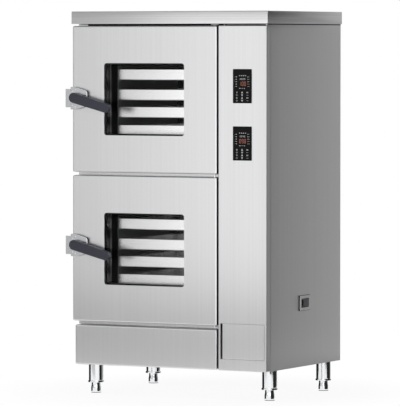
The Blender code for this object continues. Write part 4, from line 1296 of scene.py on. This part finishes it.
@dataclass(frozen=True)
class Stand:
    """The four legs and their adjustable feet, turned from bright tube, with black rubber soles whose dark
    bottom edge also paints the contact shadow at the floor.

    Attributes:
        tube_mm: The radius of a leg.
        lip_mm: The radius and height of its lower lip.
        bore_mm: The radius of its bore.
        foot_mm: The radius of a foot and of its waisted neck.
        ease_mm: The rounding of the leg's edges.
        sole_and_shadow_mm: The profile of a sole, whose black edge also paints the contact shadow.
    """

    tube_mm: float = 30.5
    lip_mm: Pair = (33.5, 6.0)
    bore_mm: float = 21.5
    foot_mm: Pair = (21.0, 19.0)
    ease_mm: float = 1.2
    sole_and_shadow_mm: tuple[Pair, ...] = ((0, 2.4), (20.2, 2.4), (20.8, 1.9), (20.8, 0.4), (20.4, 0), (0, 0))

    def build(self) -> None:
        """Make the legs, feet and soles."""
        for corner in ("front_left", "front_right", "back_left", "back_right"):
            leg, foot = f"leg_{corner}", f"foot_{corner}"
            self.turn(leg, CABINET, self.leg(*(side.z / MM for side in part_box(leg))))
            self.turn(foot, foot, self.foot(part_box(foot)[1].z / MM))
            # The black sole is partly real and partly painted contact shadow at the floor.
            sole = turned_mesh(self.sole_and_shadow_mm, (*middle_of(foot), 0.0))
            Piece(f"{foot}_sole", foot, Finish.SEAL_RUBBER).make(sole)

    def leg(self, bottom: float, top: float) -> list[Pair]:
        """Draw a leg's profile between two heights, all in millimetres.

        Args:
            bottom: The height of its lower end.
            top: The height of its upper end.

        Returns:
            Radius and height pairs.
        """
        tube, bore, e, (lip, tall) = self.tube_mm, self.bore_mm, self.ease_mm, self.lip_mm
        shoulder = bottom + tall
        return [
            (0, top), (tube - 0.5, top), (tube, top - 0.5), (tube, shoulder + e),
            (tube + 0.3 * e, shoulder + 0.3 * e), (tube + e, shoulder), (lip - 0.7 * e, shoulder),
            (lip - 0.2 * e, shoulder - 0.2 * e), (lip, shoulder - 0.7 * e), (lip, bottom + 0.7 * e),
            (lip - 0.2 * e, bottom + 0.2 * e), (lip - 0.7 * e, bottom), (bore + 0.5, bottom),
            (bore, bottom + 0.5), (bore, top - 6.0), (0, top - 6.0),
        ]

    def foot(self, top: float) -> list[Pair]:
        """Draw the profile of a foot that ends at a height, all in millimetres."""
        wide, neck = self.foot_mm
        return [
            (0, top), (wide, top), (wide, 44.0), (neck + 0.4, 42.4), (neck, 41.0), (neck, 33.0),
            (neck + 0.3, 31.0), (neck + 1.2, 25.0), (wide, 20.5), (wide, 3.4), (wide - 0.5, 2.2), (0, 2.2),
        ]

    def turn(self, node: str, body: str, profile: Sequence[Pair]) -> None:
        """Turn a profile in millimetres about a node's upright axis, to stand for that node."""
        bm = turned_mesh(profile, (*middle_of(node), 0.0))
        Piece(f"{node}_turned", body, Finish.CHROME, (node,), smooth_deg=35.0).make(bm)


@dataclass(frozen=True)
class Services:
    """The side port with its gland, the drain valve, the water inlet and the exhaust duct.

    Attributes:
        port_mm: The width of the port's rim, how far it stands out, and the width of the seal round it.
        cup_mm: The cup's profile: distances in from the rim and heights.
        bead_mm: The seal's profile.
        dome_mm: The domed nut's profile up to its top.
        ribs: The number of ribs on it.
        stem_mm: How far the drain valve's body starts behind its lever's pivot.
        lever_mm: The rounding of the ends of the drain's lever and its grip.
        vent_mm: How far the vent plate's screws lie from its middle and the back panel, and their radius.
    """

    port_mm: tuple[float, float, float] = (10.0, 6.0, 1.6)
    cup_mm: tuple[Pair, ...] = (
        (3.0, -24.4), (1.7, -23.0), (1.7, -1.4), (1.3, -0.9), (0.7, -0.9), (0.4, -1.4), (0.4, -25.6),
    )
    bead_mm: tuple[Pair, ...] = ((0, 0), (0, 3.0), (0.5, 3.8), (1.4, 4.0), (1.7, 4.0), (1.7, 0))
    dome_mm: tuple[Pair, ...] = ((0, 7.9), (13.0, 7.9), (13.0, 13.5), (12.4, 16.5), (10.6, 18.8))
    ribs: int = 12
    stem_mm: float = 12.0
    lever_mm: float = 5.8
    vent_mm: tuple[float, float, float] = (34.0, 1.8, 3.6)

    def build(self) -> None:
        """Make and dress the fittings."""
        dress((
            ("side_port", CABINET, Finish.DOOR_STEEL, 0.6),
            ("steam_boiler", CABINET, Finish.TRAY_STEEL, 0.4),
            ("steam_manifold", CABINET, Finish.TRAY_STEEL, 0.4),
            ("exhaust_duct", CABINET, Finish.TRAY_STEEL, 0.3),
        ))
        self.make_port_trim()
        self.make_gland()
        self.make_inlet()
        self.make_drain()
        self.make_drain_lever()
        self.make_vent_screws()

    def make_port_trim(self) -> None:
        """The cup in the port's recess, in darker steel that paints the shade inside it, and the black seal
        between its rim and the side panel, which also paints the shadow line along the rim.
        """
        low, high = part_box("side_port")
        rim, proud, grown = (side * MM for side in self.port_mm)
        # The cup's darker steel paints the shade in the recess; the seal's black edge is partly real and
        # partly the painted shadow line round the rim.
        rows = (
            ("cup", Finish.SHADED_GREY_STEEL, rim, 3.0, self.cup_mm, high.x),
            ("seal", Finish.FRAME_ABS, -grown, 4.0, self.bead_mm, high.x - proud),
        )
        for part, finish, inset, radius_mm, profile, side in rows:
            corners = (low.y + inset, low.z + inset), (high.y - inset, high.z - inset)
            bm = swept_mesh(*corners, radius_mm, profile, ring=part == "seal")
            Piece(f"side_port_{part}", CABINET, finish).make(stood(bm, side, sideways=True))

    def make_gland(self) -> None:
        """The cable gland: a hexagon on the port's floor, a domed nut and the seal for the cord."""
        low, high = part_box("cable_gland")
        centre = Vector((low.x, (low.y + high.y) / 2, (low.z + high.z) / 2))
        top = (high.x - low.x) / MM
        nut = ((0, 0), (15.8, 0), (16.8, 0.8), (16.8, 7.2), (15.8, 8), (0, 8))
        dome = (*self.dome_mm, (8.2, top), (7.0, top), (6.6, top - 1.2), (0, top - 1.2))
        parts = [turned_mesh(nut, centre, RIGHT, steps=6), turned_mesh(dome, centre, RIGHT, steps=48)]
        for rib in range(self.ribs):
            ridge = slab(Vector((9, -0.8, 12.6)) * MM, Vector((13.5, 0.8, 13.5)) * MM)
            turn = Matrix.Rotation(math.tau * rib / self.ribs, 3, "X")
            bmesh.ops.rotate(ridge, cent=(0, 0, 0), matrix=turn, verts=ridge.verts)
            bmesh.ops.translate(ridge, vec=centre, verts=ridge.verts)
            parts.append(ridge)
        gland = Piece("cable_gland_turned", CABINET, Finish.FRAME_ABS, ("cable_gland",), smooth_deg=35.0)
        gland.make(joined(parts))
        seal = ((0, -0.1), (6.4, -0.1), (5.6, 0.8), (2.2, 0.5), (0, 0.1))
        plug = turned_mesh(seal, (high.x - 1.2 * MM, centre.y, centre.z), RIGHT, steps=32)
        Piece("cable_gland_seal", CABINET, Finish.SEAL_RUBBER).make(plug)

    def make_inlet(self) -> None:
        """The water inlet: a pipe, a hexagon behind the back panel and a threaded end with its bore."""
        low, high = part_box("water_inlet")
        centre = ((low.x + high.x) / 2, low.y, (low.z + high.z) / 2)
        end, nut = (high.y - low.y) / MM, (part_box("back_panel")[1].y - low.y) / MM + 0.3
        pipe = (
            (0, 0), (10.4, 0), (10.4, nut + 10.5), *thread(10.5, nut + 11, end - 1.2, 1.8, 0.9),
            (9.2, end), (7.8, end), (7.4, end - 0.6), (7.4, end - 12), (0, end - 12),
        )
        holder = hexagon(17.0, nut, nut + 10.0)
        bm = joined(turned_mesh(part, centre, BACK, steps) for part, steps in ((pipe, 48), (holder, 6)))
        Piece("water_inlet_turned", CABINET, Finish.BRASS, ("water_inlet",), smooth_deg=30.0).make(bm)

    def make_drain(self) -> None:
        """The drain valve: pipe, ball body between two hexagons, stem with its packing nut, and spout."""
        pivot = pivot_of("drain_lever")
        low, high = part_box("drain_valve")
        start = pivot + Vector((0, self.stem_mm * MM, 0))
        long, end = (high.y - start.y) / MM, (pivot.z - low.z) / MM
        body = (
            (0, 12), (12, 12), (16.2, 15), (17.4, 20), (17.8, 25),
            (17.4, 30), (16.2, 35), (12, 38), (0, 38),
        )
        pipe = ((0, 48), (13.8, 48), (13.8, long), (0, long))
        spout = (
            (0, 12), (13.2, 12), (13.2, 20), *thread(13.9, 21, end - 1, 2.3, 1.0),
            (12.4, end), (10.6, end), (10.2, end - 0.8), (10.2, end - 14), (0, end - 14),
        )
        stem = ((0, -11.9), (4.8, -11.9), (5.8, -11.0), (5.8, 0.2), (0, 0.2))
        middle = start + Vector((0, 25 * MM, 0))
        rows = (
            (body, start, BACK, 40), (pipe, start, BACK, 40), (hexagon(17.9, 0.0, 13.0), start, BACK, 6),
            (hexagon(17.9, 37.0, 50.0), start, BACK, 6), (spout, middle, DOWN, 40), (stem, start, BACK, 32),
            (hexagon(9.5, -6.0, 0.1), start, BACK, 6),
        )
        valve = Piece("drain_valve_turned", CABINET, Finish.BRASS, ("drain_valve",), smooth_deg=30.0)
        valve.make(joined(turned_mesh(*row) for row in rows))

    def make_drain_lever(self) -> None:
        """The quarter-turn lever: a flat steel bar with a dipped grip, held by a nut on the stem."""
        node, body = "drain_valve_lever", "drain_lever"
        low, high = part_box(node)
        pivot = pivot_of(body)
        bar = slab(low, high)
        grip = slab(low + Vector((-0.8, -0.8, 26)) * MM, high + Vector((0.8, 0.1, 0.8)) * MM)
        for bm, edge_mm, segments in ((bar, 0.6, 2), (grip, 1.0, 3)):
            ease(bm, edges_along(bm, 1), self.lever_mm, segments=6)
            ease(bm, front_face(bm).edges, edge_mm, segments)
        nut = turned_mesh(hexagon(5.2, 0.0, 3.2), (pivot.x, low.y, pivot.z), FRONT, steps=6)
        Piece(f"{node}_cut", body, Finish.BRASS, (node,), smooth_deg=30.0).make(joined((bar, nut)))
        Piece("drain_valve_grip", body, Finish.SEAL_RUBBER).make(grip)

    def make_vent_screws(self) -> None:
        """The four screws in the exhaust stub's plate."""
        low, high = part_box("exhaust_duct")
        x, z = (low.x + high.x) / 2, high.z - (high.x - low.x) / 2
        reach, proud = (side * MM for side in self.vent_mm[:2])
        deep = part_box("back_panel")[1].y + proud
        angles = (math.pi / 4 + math.pi / 2 * turn for turn in range(4))
        places = [(x + reach * math.cos(angle), deep, z + reach * math.sin(angle)) for angle in angles]
        screws = screw_heads(places, BACK, self.vent_mm[2])
        Piece("vent_plate_screws", CABINET, Finish.CHROME).make(screws)


@dataclass(frozen=True)
class Card:
    """A card that only shiny surfaces see: a lit one, or a black flag when its glow is near zero.

    Attributes:
        name: The card's name.
        low: Its lowest corner.
        high: Its highest corner.
        along: The axis of the change, "X", "Y" or "Z".
        ramp: The places on that axis where the change starts and ends.
        glow: The brightness at those places.
        fall: The height over the floor where it starts to dim, and the share that is left at the floor.
    """

    name: str
    low: Point
    high: Point
    along: str = "Y"
    ramp: Pair = (0.0, 1.0)
    glow: Pair = (0.02, 0.02)
    fall: Pair = (1.0, 1.0)


CARDS = (
    Card(
        "front_card", (-4.2, -3.02, 0.0), (0.6, -3.0, 3.2), "X", (-1.62, -1.42), (0.52, 1.23), (0.29, 0.05),
    ),
    Card("front_floor_card", (-3.4, -3.0, 0.002), (-0.15, -1.1, 0.004), "Y", (-3.0, -1.1), (0.53, 0.60)),
    Card("rim_card", (0.80, -3.02, 0.0), (6.0, -3.0, 3.2), "X", (0.0, 1.0), (1.9, 1.9)),
    Card("rim_side_card", (1.60, -3.0, 0.15), (1.62, -1.3, 3.2), "Y", (0.0, 1.0), (1.9, 1.9)),
    Card("rim_side_flag", (1.60, -1.3, 0.15), (1.62, -0.1, 3.2), "Y", (-1.3, -0.8), (0.60, 0.12)),
    Card("column_card", (0.500, -0.52, 0.1), (0.502, -0.30, 1.6), "Y", (-0.39, -0.38), (0.85, 0.05)),
    Card("side_card", (1.60, -0.1, 0.0), (1.62, 4.2, 3.2), "Y", (1.60, 2.60), (0.05, 0.60)),
    Card("side_low_flag", (1.60, -1.3, 0.0), (1.62, -0.1, 0.15)),
    Card("side_floor_card", (0.55, 0.40, 0.002), (1.6, 4.2, 0.004), "Y", (0.9, 2.1), (0.08, 0.75)),
    Card("top_flag", (-4.2, -3.0, 3.22), (4.0, 1.2, 3.24), "Y", (0.0, 1.0), (0.60, 0.60)),
    Card("side_top_flag", (0.3, 1.2, 3.22), (1.7, 4.2, 3.24)),
    Card("left_flag", (-1.82, -0.9, 0.0), (-1.80, 3.5, 3.2), "Y", (-0.9, 1.5), (0.05, 0.30)),
    Card("cap_side_flag", (0.600, -0.16, 1.532), (0.602, 0.70, 1.80), "Y", (-0.13, 0.60), (0.02, 0.40)),
    Card("cap_front_flag", (-0.70, -0.482, 1.596), (0.50, -0.480, 1.90), "X", (-0.5, 0.4), (0.20, 0.08)),
)


def leg_cards() -> Iterator[Card]:
    """Place the small upright flags on both sides of each leg, which give the tubes their dark edges.

    Yields:
        The flags.
    """
    for corner, dark_to in (("front_left", 5), ("back_left", 5), ("front_right", 34), ("back_right", 34)):
        x, y = middle_of(f"leg_{corner}")
        far = y + 90 * MM
        low, high = (x - 59 * MM, y - 50 * MM, 2 * MM), (x - 57 * MM, far, 122 * MM)
        yield Card(f"{corner}_left_flag", low, high)
        ramp = (y + dark_to * MM, y + (dark_to + 18) * MM)
        for part, start, bottom, top in (("leg", 24, 50, 122), ("foot", 50, 2, 48)):
            low, high = (x + 57 * MM, y - start * MM, bottom * MM), (x + 59 * MM, far, top * MM)
            yield Card(f"{corner}_{part}_flag", low, high, "Y", ramp, (0.02, 0.30))


@dataclass(frozen=True)
class Studio:
    """The pale floor, the soft light and the camera.

    Attributes:
        azimuth_deg: The camera's angle round the object, from the front towards its right.
        pitch_deg: How far the camera looks down.
        distance: The camera's distance from its target.
        target: The point in the middle of the picture.
        lens_mm: The focal length.
        bright_side: The direction in which the world is brightest.
        world_turn: How far a direction agrees with that one where the world is dimmest and brightest.
        world_glow: The world's brightness there.
        floor_colour: The floor's colour where it catches the cabinet's shadow.
        floor_fade: The distances from the cabinet between which the floor fades to white.
        floor_white: How white it is at those distances.
        lamp_place: Where the soft lamp hangs.
        lamp_size: The length of its sides.
        lamp_watts: Its power.
    """

    azimuth_deg: float = 27.313
    pitch_deg: float = 2.317
    distance: float = 16.2448
    target: Point = (0.0007, -0.0456, 0.794)
    lens_mm: float = 345.09
    bright_side: Point = (-0.454, -0.891, 0.0)
    world_turn: Pair = (-0.7, 0.9)
    world_glow: Pair = (0.26, 0.80)
    floor_colour: str = "#d2d2d2"
    floor_fade: Pair = (0.4, 1.1)
    floor_white: Pair = (0.93, 1.0)
    lamp_place: Point = (-1.2, -2.4, 5.0)
    lamp_size: float = 2.5
    lamp_watts: float = 60.0

    def build(self) -> None:
        """Make the camera, the world, the floor, the cards and the lamp."""
        self.make_camera()
        self.make_world()
        self.make_floor()
        for card in (*CARDS, *leg_cards()):
            self.make_card(card)
        self.make_lamp()
        bpy.context.scene.view_settings.view_transform = "Standard"

    def make_camera(self) -> None:
        """Stand the camera where the photograph was taken from."""
        azimuth, pitch = math.radians(self.azimuth_deg), math.radians(self.pitch_deg)
        level = math.cos(pitch)
        back = Vector((math.sin(azimuth) * level, -math.cos(azimuth) * level, math.sin(pitch)))
        data = bpy.data.cameras.new("photo_camera")
        data.lens = self.lens_mm
        data.sensor_width = 36.0
        data.clip_start = 0.5
        data.clip_end = 300.0
        camera = add_object("photo_camera", data)
        camera.location = Vector(self.target) + back * self.distance
        aim(camera, -back)
        bpy.context.scene.camera = camera

    def make_world(self) -> None:
        """White behind the object, and a soft studio for its metal: bright in front, greyer behind."""
        world = bpy.data.worlds.new("studio")
        bpy.context.scene.world = world
        tree = emptied(world)
        direction = add_node(tree, "ShaderNodeTexCoord").outputs["Generated"]
        facing = add_node(
            tree, "ShaderNodeVectorMath", {"operation": "DOT_PRODUCT", 1: self.bright_side}, {0: direction},
        )
        studio = ranged(tree, facing.outputs["Value"], self.world_glow, self.world_turn, smooth=True)
        strength = add_node(
            tree, "ShaderNodeMix", {"data_type": "FLOAT", 3: 1.0}, {0: self.seen(tree), 2: studio},
        )
        links = {"Strength": strength.outputs[0]}
        sky = add_node(tree, "ShaderNodeBackground", {"Color": WHITE}, links)
        add_node(tree, "ShaderNodeOutputWorld", None, {"Surface": sky.outputs["Background"]})

    def seen(self, tree: Tree) -> Socket:
        """Tell the rays that see the white background from the rays that light things.

        Args:
            tree: The node tree.

        Returns:
            The value that is 1 for camera, glossy and transmission rays.
        """
        path = add_node(tree, "ShaderNodeLightPath").outputs
        direct = combined(tree, "MAXIMUM", path["Is Camera Ray"], path["Is Transmission Ray"])
        return combined(tree, "MAXIMUM", direct, path["Is Glossy Ray"])

    def make_floor(self) -> None:
        """A pale floor that keeps a soft shadow near the cabinet and fades to white further off."""
        bm = bmesh.new()
        bmesh.ops.create_circle(bm, cap_ends=True, radius=120.0, segments=64)
        _, tree, place = self.place_stage("studio_floor", bm, "pale_floor")
        matt = add_node(tree, "ShaderNodeBsdfDiffuse", {"Color": linear(self.floor_colour)})
        glow = add_node(tree, "ShaderNodeEmission", {"Color": WHITE, "Strength": 1.0})
        reach = add_node(tree, "ShaderNodeVectorMath", {"operation": "LENGTH"}, {0: place})
        faded = ranged(tree, reach.outputs["Value"], self.floor_white, self.floor_fade, smooth=True)
        share = combined(tree, "MULTIPLY", faded, self.seen(tree))
        mixed = add_node(
            tree, "ShaderNodeMixShader", None,
            {0: share, 1: matt.outputs["BSDF"], 2: glow.outputs["Emission"]},
        )
        add_node(tree, "ShaderNodeOutputMaterial", None, {"Surface": mixed.outputs["Shader"]})

    def make_card(self, card: Card) -> None:
        """Stand one card, which neither the camera nor the matt surfaces see.

        Args:
            card: The card.
        """
        obj, tree, place = self.place_stage(card.name, slab(card.low, card.high), card.name)
        parts = add_node(tree, "ShaderNodeSeparateXYZ", None, {"Vector": place}).outputs
        strength = ranged(tree, parts[card.along], card.glow, card.ramp)
        dimmed = ranged(tree, parts["Z"], (card.fall[1], 1.0), (0.0, card.fall[0]))
        links = {"Strength": combined(tree, "MULTIPLY", strength, dimmed)}
        glow = add_node(tree, "ShaderNodeEmission", {"Color": WHITE}, links)
        add_node(tree, "ShaderNodeOutputMaterial", None, {"Surface": glow.outputs["Emission"]})
        obj.visible_camera = False
        obj.visible_shadow = False
        obj.visible_diffuse = False

    def place_stage(self, name: str, bm: Mesh, look: str) -> tuple[bpy.types.Object, Tree, Socket]:
        """Put a studio mesh in the scene, outside the object, with a material that is still empty.

        Args:
            name: Its name.
            bm: Its mesh, which is freed.
            look: Its material's name.

        Returns:
            Its object, its material's nodes and the coordinates in its own space.
        """
        material = bpy.data.materials.new(look)
        tree = emptied(material)
        mesh = bpy.data.meshes.new(name)
        bm.to_mesh(mesh)
        bm.free()
        mesh.materials.append(material)
        obj = add_object(name, mesh)
        return obj, tree, add_node(tree, "ShaderNodeTexCoord").outputs["Object"]

    def make_lamp(self) -> None:
        """Hang one large soft lamp, high up in front on the left, that faces the cabinet."""
        data = bpy.data.lights.new("top_lamp", "AREA")
        data.shape = "RECTANGLE"
        data.size = data.size_y = self.lamp_size
        data.energy = self.lamp_watts
        lamp = add_object("top_lamp", data)
        lamp.location = self.lamp_place
        aim(lamp, Vector(self.target) - Vector(self.lamp_place))
        lamp.visible_glossy = False


def main() -> None:
    """Build the studio and the cabinet's pieces in order."""
    logging.basicConfig(level=logging.INFO, format="%(message)s")
    Studio().build()
    Sheetwork().build()
    ShadeStrips().build()
    for level, numbers in NUMBERS.items():
        Door(level).build()
        Chamber(level).build()
        Latch(level).build()
        Controller(level, numbers).build()
    Stand().build()
    Services().build()


if __name__ == "__main__":
    main()
